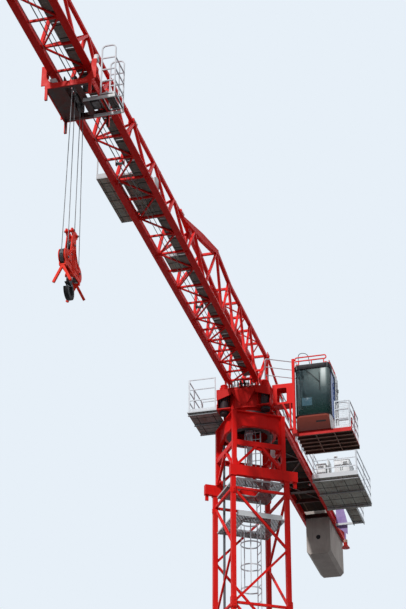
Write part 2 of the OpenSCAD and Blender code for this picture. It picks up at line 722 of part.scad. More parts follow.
module counter_jib_girders() {
    l = counter_len;
    inner = counter_w - 10;
    back = weights_end + 40 - counter_end;
    bay_x = l - 4200;
    color(red) difference() {
        union() {
            translate([counter_end, 0, counter_z]) {
                for (s = [-1, 1]) translate([0, s * girder_y, 0]) i_girder(l - 0.5, girder_h, girder_w, 10);
                for (x = [20, back, bay_x, bay_x + 1050, bay_x + 2100, bay_x + 3150, l - 160])
                    translate([x, -inner / 2, 30]) cube([40, inner, 80]);
                for (i = [0 : 2]) {
                    side = i % 2 == 0 ? 1 : -1;
                    bar([bay_x + 40 + i * 1050, side * (girder_y - 4), 50], [bay_x + (i + 1) * 1050, -side * (girder_y - 4), 50], 30);
                }
            }
            translate([tie_x - 60, -inner / 2, counter_z + 32]) cube([120, inner, 60]);
            for (s = [-1, 1], e = [-1, 1])
                plate_xz([[tie_x - 56, counter_z + 60], [tie_x - 34, girder_top + 90], [tie_x + 34, girder_top + 90],
                    [tie_x + 56, counter_z + 60]], s * twin_y + e * (tie_t / 2 + 7.3), 12);
            for (s = [-1, 1]) translate([tie_x, s * twin_y, girder_top + 60]) pin_y(14, tie_t + 52);
        }
        for (s = [-1, 1]) translate([-rear_foot_x - 35, s * girder_y, counter_z + girder_h / 2]) pin_y(14.3, 30);
    }
}

winch_x = tie_x - 760;

module counter_jib_deck() {
    x0 = weights_end + 90;
    color(grey) difference() {
        translate([x0, -girder_y, girder_top]) cube([-rear_foot_x - 20 - x0, counter_w, 20]);
        for (s = [-1, 1]) translate([tie_x - 60, s * twin_y - tie_t / 2 - 14, girder_top - 1]) cube([120, tie_t + 28, 22]);
    }
}

module counter_jib_rails() {
    z = girder_top + 20;
    color(zinc) for (s = [-1, 1]) {
        guard_rail([for (i = [0 : 4]) [-rear_foot_x - 60 - i * (counter_len - 2280) / 4, s * (girder_y - 12), z]], rail_h);
    }
}

module hoist_winch() {
    z = girder_top + 20;
    color("gray") translate([winch_x, 0, z]) {
        for (s = [-1, 1]) translate([-250, s * 190 - 15, 0]) cube([500, 30, 320]);
        translate([0, 0, 200]) pin_y(130, 349.4);
        translate([-500, -100, 0]) cube([240, 200, 260]);
    }
}

switch_x0 = counter_end + 2050;
switch_x1 = counter_end + 3650;
switch_y0 = girder_y + girder_w / 2 + 0.3;
switch_y1 = 1275;

step_x0 = counter_end + 1080;
step_y0 = 700;
step_y1 = 940;

module switchgear_platform() {
    l = switch_x1 - switch_x0;
    w = switch_y1 - switch_y0;
    color(zinc) {
        translate([switch_x0, switch_y0, counter_z]) cube([l, w, deck_t]);
        for (x = [30, l * 0.5, l - 100]) difference() {
            translate([switch_x0 + x, switch_y0, counter_z - 58]) cube([60, w - 3, 59]);
            translate([switch_x0 + x + 7, switch_y0 - 1, counter_z - 50]) cube([60, w, 43]);
        }
        translate([switch_x1 - 6, switch_y0 + 2, counter_z + deck_t - 1]) cube([5, w - 4, 71]);
        // the step that leads on past the weights
        translate([step_x0, step_y0, counter_z + 2]) cube([switch_x0 - step_x0 + 5, step_y1 - step_y0, deck_t - 4]);
        for (y = [step_y0 + 4, step_y1 - 18]) translate([step_x0 + 1, y, counter_z - 36]) cube([switch_x0 - step_x0 + 40, 14, 40]);
        translate([step_x0 + 90, switch_y0, counter_z - 40]) cube([30, step_y1 - switch_y0 - 2, 43]);
    }
}

module switchgear_cabinets() {
    z = counter_z + deck_t;
    x = switch_x1 - 100;
    color("white") {
        translate([x - 420, switch_y0 + 80, z]) cube([420, 190, 330]);
        translate([x - 330, switch_y0 + 300, z]) cube([300, 26, 445]);
        translate([x - 560, switch_y0 + 440, z]) cube([520, 310, 390]);
    }
}

module switchgear_rails() {
    z = counter_z + deck_t;
    y = switch_y1 - rail_t;
    x = switch_x1 - 26;
    color(zinc) {
        guard_rail([[x, switch_y0 + 30, z], [x, y, z], [x - 780, y, z], [switch_x0 + 20, y, z], [switch_x0 + 20, step_y1, z]], rail_h);
        guard_rail([[switch_x0 - 12, step_y1 - rail_t, z - 2], [step_x0 + 20, step_y1 - rail_t, z - 2], [step_x0 + 20, step_y0 + 10, z - 2]],
            rail_h);
        guard_rail([[switch_x0 + 20, step_y0, z], [switch_x0 + 20, switch_y0 + 30, z]], rail_h);
    }
}

module counterweights() {
    chamfer = 70;
    z0 = girder_top + 60 - slab_h;
    head = girder_y + girder_w / 2 - 8;
    color("silver") translate([weights_end - 2, -slab_w / 2 + chamfer + 16, z0 + 4]) cube([22, slab_w - 2 * chamfer - 32, 44]);
    color("silver") for (i = [0 : slabs - 1])
        translate([weights_x + i * (slab_t + 0.5), 0, z0]) rotate([90, 0, 90])
            linear_extrude(slab_t) difference() {
                polygon([[-slab_w / 2, chamfer], [-slab_w / 2 + chamfer, 0], [slab_w / 2 - chamfer, 0],
                    [slab_w / 2, chamfer], [slab_w / 2, slab_h - 60], [head, slab_h - 60], [head, slab_h],
                    [-head, slab_h], [-head, slab_h - 60], [-slab_w / 2, slab_h - 60]]);
                translate([0, 380]) circle(r = 26, $fn = 32);
            }
}

module bare_panel() {
    x = counter_end + 1130;
    y = girder_y + girder_w / 2 + 0.3;
    z = counter_z + 20;
    color("mediumpurple") {
        translate([x, y, z]) rotate([90, 0, 90]) linear_extrude(8)
            polygon([[0, -60], [0, 330], [175, 325], [245, 10], [240, -265]]);
        translate([x - 50, y, z - 18]) cube([56, 9, girder_h - 6]);
        translate([x + 1, y + 170, z - 420]) cube([7, 30, 290]);
        translate([x + 4, y + 185, z - 500]) cylinder(r = 42, h = 110, $fn = 32);
        translate([x + 4, y + 185, z - 570]) cylinder(r1 = 90, r2 = 40, h = 72, $fn = 32);
    }
}

module jib_chord(s) {
    x0 = jib_foot_x;
    color(red) difference() {
        union() {
            translate([x0, s * chord_y - chord_w / 2, chord_z - chord_h / 2]) cube([jib_end - x0, chord_w, chord_h]);
            translate([x0 + 100, s > 0 ? chord_y + chord_w / 2 - 1 : -chord_y - chord_w / 2 - rail_flange,
                chord_z - chord_h / 2]) cube([jib_end - x0 - 100, rail_flange + 1, flange_t]);
            translate([x0 - 35, s * chord_y - foot_lug_t / 2, chord_z - 32]) cube([40, foot_lug_t, 64]);
            translate([x0 - 35, s * chord_y, chord_z]) pin_y(32, foot_lug_t);
            for (n = [0 : 2 : bays - 1]) translate([root_end + n * bay, s * chord_y, chord_z - chord_h / 2]) {
                for (y = [-15, 5]) translate([-62, y, -16]) cube([124, 10, 32]);
                for (x = [-38, 38]) translate([x, 0, -3]) pin_y(8, 44);
            }
        }
        translate([x0 - 35, s * chord_y, chord_z]) pin_y(14.3, foot_lug_t + 2);
    }
}

module jib_top_chord() {
    t = twin_t;
    inner = twin_w - t - 0.6;
    color(red) {
        for (s = [-1, 1]) {
            root_chord(s, apex_x + 30.5, pin_x);
            root_chord(s, pin_x + 0.3, peak_x);
        }
        top_fork(0);
        translate([branch_x + 0.3, -top_w / 2, outer_z - top_w / 2]) cube([jib_end - branch_x - 0.3, top_w, top_w]);
        intersection() {
            translate([apex_x + 50, -inner / 2, twin_z - 100]) cube([knee_x - apex_x - 60, inner, 200]);
            union() {
                for (i = [0 : 5]) {
                    x = apex_x + 80 + i * (knee_x - apex_x - 140) / 5;
                    translate([x - 20, -twin_y, twin_z - 20]) cube([40, twin_w, 40]);
                    if (i < 5) bar([x, i % 2 == 0 ? -twin_y : twin_y, twin_z],
                        [x + (knee_x - apex_x - 140) / 5, i % 2 == 0 ? twin_y : -twin_y, twin_z], 18);
                }
            }
        }
        translate([peak_x - 45, -inner / 2, peak_z - 20]) cube([40, inner, 40]);
    }
}

// Height of the root section's top chord centres at x
function root_top(x) = x < knee_x ? twin_z : twin_z + (peak_z - twin_z) * (x - knee_x) / (peak_x - knee_x);

// One of the two top chords of the root section from x0 to x1, larger by g all round
module root_chord(s, x0, x1, g = 0) {
    h = twin_t / 2 + g;
    mid = x0 < knee_x && knee_x < x1 ? [knee_x] : [];
    xs = concat([x0], mid, [x1]);
    n = len(xs);
    plate_xz([for (i = [0 : n - 1]) [xs[i], root_top(xs[i]) + h], for (i = [n - 1 : -1 : 0]) [xs[i], root_top(xs[i]) - h]],
        s * twin_y, 2 * h);
}

// The tapered fork that brings the two top chords of the root together into one
module top_fork(g) {
    w0 = twin_t / 2 + 10 + g;
    w1 = top_w / 2 + g;
    crotch = branch_x - 330 - 4 * g;
    intersection() {
        translate([0, 0, outer_z - 200]) linear_extrude(900) polygon([[peak_x + 0.3, twin_y + w0], [branch_x, w1],
            [branch_x, -w1], [peak_x + 0.3, -twin_y - w0], [peak_x + 0.3, -twin_y + w0], [crotch, 0],
            [peak_x + 0.3, twin_y - w0]]);
        plate_xz([[peak_x, peak_z + twin_t / 2 + g], [peak_x + 0.7 * bay, peak_z - 70 + g], [branch_x + 1, outer_z + top_w / 2 + g],
            [branch_x + 1, outer_z - top_w / 2 - g], [peak_x + 0.7 * bay, peak_z - 215 - g],
            [peak_x, peak_z - 70 - g]], 0, 900);
    }
}

// Bottom nodes of the side trusses, first those of the root section
nodes_x = concat([for (i = [0 : 3]) jib_foot_x + i * root_bay + (i == 0 ? 60 : 0)],
    [for (i = [1 : bays]) root_end + i * bay - (i == bays ? 60 : 0)]);

// Where the lacing meets the top chord at x, on side s
function top_node(x, s) = x <= peak_x ? [x, s * twin_y, root_top(x)]
    : x < branch_x ? [x, s * twin_y * (branch_x - x) / (branch_x - peak_x) + s * 6, peak_z - 140
        - (peak_z - 140 - outer_z) * (x - peak_x) / (branch_x - peak_x)]
    : [x, s * top_w / 4, outer_z];

module jib_side(s) {
    last = len(nodes_x) - 1;
    color(red) difference() {
        union() for (i = [0 : last]) {
            x = nodes_x[i];
            bar([x, s * chord_y, chord_z], top_node(x, s), brace_w);
            if (i < last) bar(top_node(x, s), [nodes_x[i + 1], s * chord_y, chord_z], brace_w - 6);
        }
        translate([0, s * chord_y - chord_w / 2 - 0.3, chord_z - 300]) cube([jib_end + 100, chord_w + 0.6, 300 + chord_h / 2 + 0.3]);
        root_chord(s, apex_x, peak_x + 1, 0.3);
        top_fork(0.3);
        translate([branch_x - 1, -top_w / 2 - 0.3, outer_z - top_w / 2 - 0.3]) cube([jib_end, top_w + 0.6, top_w + 0.6]);
        translate([0, s > 0 ? -500 : -0.2, chord_z]) cube([jib_end + 100, 500.2, 3000]);
    }
}

module jib_bottom_lacing() {
    inner = jib_w - chord_w - 0.6;
    steps = concat([for (i = [0 : 5]) jib_foot_x + i * root_bay / 2], [for (i = [0 : 2 * bays]) root_end + i * bay / 2]);
    last = len(steps) - 1;
    color(red) intersection() {
        translate([jib_foot_x + 30, -inner / 2, chord_z - 60]) cube([jib_end - jib_foot_x - 40, inner, 120]);
        union() for (i = [0 : last]) {
            side = i % 2 == 0 ? -1 : 1;
            x = steps[i] + (i == 0 ? 60 : i == last ? -30 : 0);
            translate([x - 15, -chord_y, chord_z - 15]) cube([30, jib_w, 30]);
            if (i < last) bar([steps[i], side * inner / 2, chord_z], [steps[i + 1], -side * inner / 2, chord_z], cross_w);
        }
    }
}

walk_y0 = 50;
walk_y1 = chord_y - chord_w / 2 - 0.3;
walk_z = chord_z + 15;
bearer_z = chord_z + chord_h / 2;
bearer_h = 30;
winch_deck_z = bearer_z + bearer_h;
winch_deck_x = root_end + 3 * bay - 150;

module jib_walkway() {
    x0 = jib_foot_x + 120;
    x1 = jib_end - 60;
    panel = bay / 2;
    color(zinc) {
        for (y = [walk_y0, walk_y1 - 12]) translate([x0, y, walk_z]) cube([x1 - x0, 12, 24]);
        for (x = [x0 : panel : x1 - panel]) {
            translate([x + 6, walk_y0 + 2, walk_z + 9]) cube([panel - 14, walk_y1 - walk_y0 - 4, 7]);
            for (k = [0.02, 0.26, 0.5, 0.74]) translate([x + k * panel, walk_y0 + 1, walk_z + 4])
                cube([16, walk_y1 - walk_y0 - 2, 16]);
        }
    }
}

module jib_platforms() {
    x0 = winch_deck_x;
    l = 1275;
    lean = (chord_y - top_w / 4) / jib_depth * (winch_deck_z + 16 - chord_z);
    edge = chord_y - lean - brace_w / 2 - 8;
    outer_w = 300 - brace_w / 2 - 2;
    color(zinc) {
        for (y = [-chord_y - 300, -edge]) {
            w = y < -chord_y ? outer_w : 2 * edge;
            n = y < -chord_y ? 2 : 3;
            translate([x0, y, winch_deck_z - 1]) cube([l, w, 17]);
            for (k = [0 : n]) translate([x0 + 1, y + 1 + k * (w - 14) / n, winch_deck_z - 12]) cube([l - 2, 12, 13]);
            for (k = [0 : 5]) translate([x0 + 2 + k * (l - 18) / 5, y + 2, winch_deck_z - 13]) cube([14, w - 4, 15]);
        }
        for (x = [x0 + 230, x0 + 620, x0 + 1050]) translate([x, -chord_y - chord_w / 2 + 4, bearer_z])
            cube([60, 2 * chord_y + chord_w - 8, bearer_h]);
        translate([x0 + l - 10, -chord_y - 298, winch_deck_z + 14]) cube([8, outer_w - 4, 60]);
        translate([x0 + l - 20, -chord_y - 296, winch_deck_z + 14]) cube([16, 16, rail_h * 0.9]);
        translate([root_end + 1.42 * bay, -175, walk_z]) cube([500, 170 + walk_y0, 16]);
        translate([root_end + 1.42 * bay + 488, -170, walk_z + 15]) cube([8, 160 + walk_y0, 50]);
    }
}

module trolley_winch() {
    x0 = winch_deck_x + 330;
    z = winch_deck_z + 16;
    color("white") {
        translate([x0, -60, z]) cube([700, 150, 220]);
        translate([x0 + 20, -130, z]) cube([300, 50, 160]);
        translate([x0 + 500, -110, z + 90]) pin_y(85, 60);
        for (y = [-150.3, -79.7]) translate([x0 + 440, y, z]) cube([120, 10, 130]);
    }
}

module jib_tip() {
    color(red) {
        for (s = [-1, 1]) translate([jib_end + 2, s * (chord_y - 20) - 10, chord_z - 30]) cube([418, 20, 160]);
        translate([jib_end + 380, -chord_y + 10, chord_z - 10]) cube([40, jib_w - 20, 60]);
        translate([jib_end, -chord_y, chord_z - 30]) cube([12, jib_w, 60]);
    }
}

module trolley_frame() {
    l = trolley_l;
    plate = 14;
    top = axle_z + 40;
    arm = chord_z + 50 - trolley_beam_z;
    fillet = 150;
    color(red) difference() {
        union() {
            for (s = [-1, 1]) {
                y = s > 0 ? trolley_y : -trolley_y - plate;
                translate([trolley_x - l / 2, y, trolley_beam_z]) cube([l, plate, 110]);
                for (e = [-1, 1]) translate([trolley_x + e * (l / 2 - 60) - 50, y, trolley_beam_z])
                    cube([100, plate, top - trolley_beam_z]);
                translate([trolley_x - l / 2 + 30, s * (cheek_y + cheek_t / 2) - cheek_t / 2, trolley_beam_z + 3])
                    cube([l - 60, cheek_t, sheave_z + 50 - trolley_beam_z]);
            }
            for (e = [-1, 1]) translate([trolley_x + e * (l - end_beam_w) / 2 - end_beam_w / 2, -trolley_y - plate, trolley_beam_z])
                cube([end_beam_w, 2 * (trolley_y + plate), 80]);
            // arms that reach up outside the chords, and legs that hang at the corners
            for (e = [-1, 1], s = [-1, 1]) translate([trolley_x + e * (l / 2 - 9) - 7, 0, trolley_beam_z]) {
                rotate([90, 0, 90]) scale([s, 1, 1]) linear_extrude(plate) difference() {
                    translate([trolley_y - fillet - 60, 60]) square([fillet + 130, (s > 0 ? arm : top - trolley_beam_z) - 60]);
                    translate([trolley_y - fillet, 76 + fillet]) circle(r = fillet, $fn = 64);
                    translate([trolley_y - fillet - 80, 76 + fillet]) square([fillet + 79.5, arm]);
                    translate([trolley_y - fillet - 80, 84]) square([81, arm]);
                }
                translate([-8, s * (trolley_y - 10) - 18, -185]) cube([30, 36, 190]);
            }
            for (y = [-trolley_y + 3, cheek_y + 3]) translate([trolley_x - l / 2 + 10, y, trolley_beam_z + 6])
                cube([l - 20, y < 0 ? trolley_y - cheek_y - 6 : 90, 8]);
        }
        for (e = [-1, 1]) translate([trolley_x + e * (l / 2 - 60), 0, axle_z]) pin_y(12.3, 2 * trolley_y + 100);
        for (n = [-1 : 1]) translate([trolley_x + n * 2 * fall_x, 0, sheave_z]) pin_y(14.3, 2 * cheek_y + 60);
    }
}

module trolley_wheels() {
    color("dimgray") for (e = [-1, 1], s = [-1, 1])
        translate([trolley_x + e * (trolley_l / 2 - 60), s * wheel_y, axle_z]) {
            pin_y(wheel_r, wheel_w);
            translate([0, s * (wheel_w / 2 + 12), 0]) pin_y(12, 25);
        }
}

// A grooved rope sheave along Y
module sheave(r, w) {
    rotate([90, 0, 0]) translate([0, 0, -w / 2]) rotate_extrude($fn = 48)
        polygon([[14, 0], [r + 12, 0], [r + 12, w * 0.15], [r, w * 0.42], [r, w * 0.58],
            [r + 12, w * 0.85], [r + 12, w], [14, w]]);
}

module trolley_sheaves() {
    color("dimgray") for (n = [-1 : 1]) translate([trolley_x + n * 2 * fall_x, 0, sheave_z]) {
        translate([0, n * stagger, 0]) sheave(sheave_r, 40);
        pin_y(14, 2 * (cheek_y + cheek_t) + 16);
    }
}

// A rail hoop in the plane X, from y0 to y1, with round top corners
module hoop(x, y0, y1, z, h) {
    translate([x, 0, z]) rotate([90, 0, 90]) linear_extrude(rail_t) difference() {
        translate([y0, 0]) round_top(y1 - y0, h, 70);
        translate([y0 + rail_t, -1]) round_top(y1 - y0 - 2 * rail_t, h + 1 - rail_t, 70 - rail_t);
    }
}

module round_top(w, h, r) {
    square([w, h - r]);
    translate([r, 0]) square([w - 2 * r, h]);
    for (x = [r, w - r]) translate([x, h - r]) circle(r = r, $fn = 48);
}

module trolley_basket() {
    y0 = trolley_y + 14;
    y1 = y0 + 220;
    x0 = trolley_x - 330;
    x1 = trolley_x + 70;
    z = trolley_beam_z + 20;
    tube = 24;
    tall = 810;
    color(zinc) {
        for (y = [y0, y1 - tube]) translate([x0, y, z]) cube([x1 - x0, tube, tube]);
        for (x = [x0, x1 - tube]) translate([x, y0 + 1, z + 1]) cube([tube, y1 - y0 - 2, tube - 2]);
        translate([x0 + 5, y0 + 60, z + tube - 6]) cube([x1 - x0 - 10, 110, 14]);
        for (x = [x0 + 3, x1 - rail_t - 3]) {
            hoop(x, y0 + 3, y1 - 3, z + tube - 1, tall);
            for (k = [1 : 3]) translate([x + 1, y0 + 5, z + tube + k * tall * 0.24]) cube([rail_t - 2, y1 - y0 - 10, 16]);
        }
        for (k = [1 : 3]) translate([x0 + 5, y1 - 20, z + tube + k * tall * 0.24 + 2]) cube([x1 - x0 - 10, 15, 12]);
        translate([(x0 + x1) / 2, y1 - 20, z + tube - 1]) cube([16, 16, tall * 0.72 + 10]);
    }
}

block_y = 32.3;
head_y = 300;
leg_x = 262;

// Side plate of the hook block: a long traverse for two sheaves with a narrow head on it
module block_plate() {
    end = sheave_r + 10;
    linear_extrude(cheek_t) difference() {
        union() {
            translate([-2 * fall_x, -end]) square([4 * fall_x, 2 * end]);
            for (s = [-1, 1]) translate([s * 2 * fall_x, 0]) circle(r = end, $fn = 64);
            for (s = [-1, 1]) translate([s * leg_x, 0]) polygon([[-34, -60], [34, -60], [24, -142], [-24, -142]]);
            polygon([[-250, 80], [250, 80], [110, 180], [84, 320], [70, 420], [118, 462], [118, 505], [78, 530],
                [-78, 530], [-118, 505], [-118, 462], [-70, 420], [-84, 320], [-110, 180]]);
        }
        for (s = [-1, 1]) translate([s * 2 * fall_x, 0]) circle(r = 14.3, $fn = 32);
        translate([0, head_y]) circle(r = 14.3, $fn = 32);
        for (s = [-1, 1]) translate([s * 66, 140]) circle(r = 22, $fn = 32);
    }
}

module block_frame() {
    color(red) translate([trolley_x, 0, block_z]) difference() {
        union() {
            for (y = [block_y + cheek_t, -block_y]) translate([0, y, 0]) rotate([90, 0, 0]) block_plate();
            translate([-80, -block_y - 1, -122]) cube([160, 2 * block_y + 2, 64]);
            for (s = [-1, 1]) {
                translate([s * 76, 0, 484]) pin_y(20, 2 * (block_y + cheek_t) + 34);
                translate([s * leg_x - 20, -block_y - 1, -140]) cube([40, 2 * block_y + 2, 18]);
                bar([s * leg_x, 0, -131], [s * leg_x, 116, -372], 34);
                bar([s * leg_x, 0, -131], [s * leg_x, -116, -372], 31);
            }
        }
        translate([0, 0, -130]) cylinder(r = shank_r + 0.5, h = 80, $fn = 32);
    }
}

module block_sheaves() {
    color("dimgray") translate([trolley_x, 0, block_z]) {
        for (s = [-1, 1]) translate([s * 2 * fall_x, 0, 0]) {
            sheave(sheave_r, 40);
            pin_y(14, 2 * (block_y + cheek_t) + 20);
        }
        translate([0, 0, head_y]) {
            sheave(56, 40);
            pin_y(14, 2 * (block_y + cheek_t) + 16);
        }
    }
}

hook_z = block_z - 128;
shank_r = 20;

module hook() {
    r = 128;
    t = 30;
    color("black") translate([trolley_x, 0, hook_z]) {
        translate([0, 0, -60]) cylinder(r = shank_r, h = 180, $fn = 32);
        translate([0, 0, 70.3]) cylinder(r = block_y - 1, h = 34, $fn = 32);
        translate([0, t, -r - 110]) rotate([90, 0, 0]) linear_extrude(2 * t) difference() {
            union() {
                circle(r = r, $fn = 64);
                translate([-34, 40]) square([68, 140]);
            }
            circle(r = r - 56, $fn = 64);
            polygon([[10, -6], [200, 10], [200, 90], [34, 74]]);
        }
    }
}

// A round bar from a to b
module rod(a, b, r, sides) {
    v = b - a;
    translate(a) rotate([0, acos(v.z / norm(v)), atan2(v.y, v.x)]) cylinder(r = r, h = norm(v), $fn = sides);
}

module hoist_ropes() {
    color("dimgray") for (e = [-1, 1]) {
        rod([trolley_x + e * 3 * fall_x, 0, block_z + 0.5], [trolley_x + e * 3 * fall_x, e * stagger, sheave_z - 0.5], rope_r, 16);
        rod([trolley_x + e * fall_x, 0, block_z + 0.5], [trolley_x + e * fall_x, 0, sheave_z - 0.5], rope_r, 16);
    }
}

base_frame();
mast_legs();
mast_side(0);  // mast_side_1
mast_side(90);  // mast_side_2
mast_side(180);  // mast_side_3
mast_side(270);  // mast_side_4
mast_ladders();
rest_platforms();
power_cable();
collar_beams();
tower_head();
slew_ring();
turret_frame();
slew_motors();
service_platform();
service_rails();
a_frame();
counter_jib_ties();
cab_bracket();
cab_platform();
cab_walkway_rails();
cab_shell();
cab_windows();
cab_seat();
cab_roof_rails();
counter_jib_girders();
counter_jib_deck();
counter_jib_rails();
hoist_winch();
switchgear_platform();
switchgear_cabinets();
switchgear_rails();
counterweights();
bare_panel();
jib_chord(-1);  // jib_chord_left
jib_chord(1);  // jib_chord_right
jib_top_chord();
jib_side(-1);  // jib_side_left
jib_side(1);  // jib_side_right
jib_bottom_lacing();
jib_walkway();
jib_platforms();
trolley_winch();
jib_tip();
trolley_frame();
trolley_wheels();
trolley_sheaves();
trolley_basket();
block_frame();
block_sheaves();
hook();
hoist_ropes();
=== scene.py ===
import math

import bpy
from mathutils import Matrix, Vector
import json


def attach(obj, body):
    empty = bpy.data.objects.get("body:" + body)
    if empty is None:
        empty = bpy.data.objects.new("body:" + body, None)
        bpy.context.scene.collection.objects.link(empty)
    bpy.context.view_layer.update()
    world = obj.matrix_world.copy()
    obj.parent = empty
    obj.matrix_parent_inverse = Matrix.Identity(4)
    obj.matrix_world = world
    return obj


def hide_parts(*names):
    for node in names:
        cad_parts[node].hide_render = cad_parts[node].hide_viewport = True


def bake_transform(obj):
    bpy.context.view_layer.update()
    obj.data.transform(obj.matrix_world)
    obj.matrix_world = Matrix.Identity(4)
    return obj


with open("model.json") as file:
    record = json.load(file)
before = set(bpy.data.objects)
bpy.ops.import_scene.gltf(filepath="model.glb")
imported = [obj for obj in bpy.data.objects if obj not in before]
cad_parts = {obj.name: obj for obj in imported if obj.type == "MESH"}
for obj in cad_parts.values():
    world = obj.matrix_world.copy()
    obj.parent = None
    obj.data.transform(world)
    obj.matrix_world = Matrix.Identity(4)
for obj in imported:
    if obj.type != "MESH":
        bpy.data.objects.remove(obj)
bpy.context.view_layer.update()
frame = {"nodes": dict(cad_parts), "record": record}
nodes = frame["nodes"]
print("frame loaded:", len(nodes), "nodes")

# camera, floor and light

cameraView = {
    "place": (27.818, 6.7037, 0.79),
    "turn": (119.511, -0.187, 105.171),  # degrees about X, Y and Z
    "lens": 102.43,
    "sensor": 36,
    "near": 0.05,
    "far": 400,
}

studio = {
    "floorSize": 420.0,
    "floorDrop": -0.002,  # the floor lies this far under the anchor feet
    "floorColours": ((0.6, 0.61, 0.62), (0.57, 0.58, 0.59)),
    "floorBounce": (0.13, 0.13, 0.135),  # what the floor throws back up on the object
    "skyColour": (0.9, 0.95, 1.0),
    "skyLight": 0.5,
    "backdrop": (0.8, 0.87, 0.94),
}

suns = {  # where each comes from, its strength, its softness in degrees, and whether panes mirror it
    "key_sun": ((0.72, -0.16, 0.68), 3.1, 4.0, True),
    "fill_sun": ((-0.75, 0.45, 0.48), 0.75, 40.0, False),
}


def makeCamera():
    bpy.ops.object.camera_add(location=cameraView["place"])
    camera = bpy.context.object
    camera.name = "photo_camera"
    camera.rotation_euler = [math.radians(a) for a in cameraView["turn"]]
    camera.data.lens = cameraView["lens"]
    camera.data.sensor_width = cameraView["sensor"]
    camera.data.clip_start = cameraView["near"]
    camera.data.clip_end = cameraView["far"]
    bpy.context.scene.camera = camera


def makeSun(name, comesFrom, strength, softness, mirrored):
    bpy.ops.object.light_add(type="SUN", rotation=Vector(comesFrom).to_track_quat("Z", "Y").to_euler())
    lamp = bpy.context.object
    lamp.name = name
    lamp.data.energy = strength
    lamp.data.angle = math.radians(softness)
    lamp.visible_glossy = mirrored


bpy.ops.object.select_all(action="DESELECT")
makeCamera()
for name, settings in suns.items():
    makeSun(name, *settings)
bpy.context.scene.view_settings.view_transform = "Standard"
print("camera and lamps made")

# shader tools: a wrapped socket that can be used in sums, and a paint that owns one tree of nodes


def onWires(operation):
    return lambda wire, other: wire.sum(operation, other)


class Wire:
    def __init__(self, paint, socket):
        self.paint = paint
        self.socket = socket

    def sum(self, operation, *others):
        return self.paint.add("ShaderNodeMath", {"operation": operation}, dict(enumerate((self,) + others)))

    def __rsub__(self, other):
        return self.paint.add("ShaderNodeMath", {"operation": "SUBTRACT"}, {0: other, 1: self})

    __add__ = __radd__ = onWires("ADD")
    __mul__ = __rmul__ = onWires("MULTIPLY")
    __sub__ = onWires("SUBTRACT")
    __truediv__ = onWires("DIVIDE")
    __pow__ = onWires("POWER")
    __gt__ = onWires("GREATER_THAN")
    __lt__ = onWires("LESS_THAN")


class Paint:
    def __init__(self, name, world=None):  # a new material, or the tree of a world
        self.material = world or bpy.data.materials.new(name)
        self.material.use_nodes = True
        self.tree = self.material.node_tree
        self.tree.nodes.clear()
        self.out = self.tree.nodes.new("ShaderNodeOutputWorld" if world else "ShaderNodeOutputMaterial")
        if not world:
            self.shader = self.tree.nodes.new("ShaderNodeBsdfPrincipled")
            self.show(Wire(self, self.shader.outputs[0]))

    def show(self, wire):
        self.join(wire, self.out.inputs[0])

    def join(self, value, socket):
        if isinstance(value, Wire):
            self.tree.links.new(value.socket, socket)
        elif socket.type == "RGBA":
            socket.default_value = (*value, 1)
        else:
            socket.default_value = value

    def add(self, kind, settings=None, inputs=None, output=0):
        node = self.tree.nodes.new(kind)
        for key, value in (settings or {}).items():
            setattr(node, key, value)
        for key, value in (inputs or {}).items():
            self.join(value, node.inputs[key])
        return Wire(self, node.outputs[output])

    def place(self, scale=(1, 1, 1), turn=(0, 0, 0)):
        where = self.add("ShaderNodeTexCoord", output="Object")
        return self.add("ShaderNodeMapping", {}, {"Vector": where, "Scale": scale, "Rotation": turn})

    def axes(self):
        where = self.place()
        return [self.add("ShaderNodeSeparateXYZ", {}, {0: where}, n) for n in range(3)]

    def within(self, x=None, y=None, z=None):  # 1 inside the ranges, each given as (low, high), 0 outside
        tests = []
        for value, limits in zip(self.axes(), (x, y, z)):
            if limits:
                tests += [value > limits[0], value < limits[1]]
        return math.prod(tests)

    def noise(self, scale, detail=3.0, roughness=0.55, stretch=(1, 1, 1)):
        return self.add("ShaderNodeTexNoise", {}, {"Vector": self.place(stretch), "Scale": scale, "Detail": detail,
                                                   "Roughness": roughness})

    def spread(self, value, low, high):  # 0 at low, 1 at high
        return self.add("ShaderNodeMapRange", {"clamp": True}, {"Value": value, "From Min": low, "From Max": high})

    def cloud(self, scale, low, high, detail=5, roughness=0.65, stretch=(1, 1, 1)):  # soft patches
        return self.spread(self.noise(scale, detail, roughness, stretch), low, high)

    def mix(self, amount, first, second):
        return self.add("ShaderNodeMix", {"data_type": "RGBA"}, {0: amount, 6: first, 7: second}, 2)

    def either(self, first, second):
        return first.sum("MAXIMUM", second)

    def ridges(self, value, pitch, share):  # 1 on a band of each pitch, 0 between the bands
        return (value / pitch).sum("FRACT") < share

    def seen(self):  # 1 for what the camera, a mirror or a pane shows, 0 for what lights the object
        camera, glossy, through = (self.add("ShaderNodeLightPath", output="Is " + ray + " Ray")
                                   for ray in ("Camera", "Glossy", "Transmission"))
        return self.either(self.either(camera, glossy), through)

    def bump(self, height, strength, distance):
        return self.add("ShaderNodeBump", {}, {"Height": height, "Strength": strength, "Distance": distance})

    def finish(self, **sockets):
        for key, value in sockets.items():
            self.join(value, self.shader.inputs[key.replace("_", " ")])
        return self.material

    def worn(self, tint, dirt, rough, rougher, gloss, relief):  # roughness and relief follow the dirt
        return self.finish(Base_Color=tint, Roughness=rough + dirt * rougher, Specular_IOR_Level=gloss,
                           Normal=self.bump(dirt, relief, 0.001))


def makeWorld():
    world = bpy.data.worlds.new("studio_world")
    bpy.context.scene.world = world
    paint = Paint("sky", world)
    lit = paint.add("ShaderNodeBackground", {}, {"Color": studio["skyColour"], "Strength": studio["skyLight"]})
    shown = paint.add("ShaderNodeBackground", {}, {"Color": studio["backdrop"], "Strength": 1.0})
    paint.show(paint.add("ShaderNodeMixShader", {}, {0: paint.seen(), 1: lit, 2: shown}))


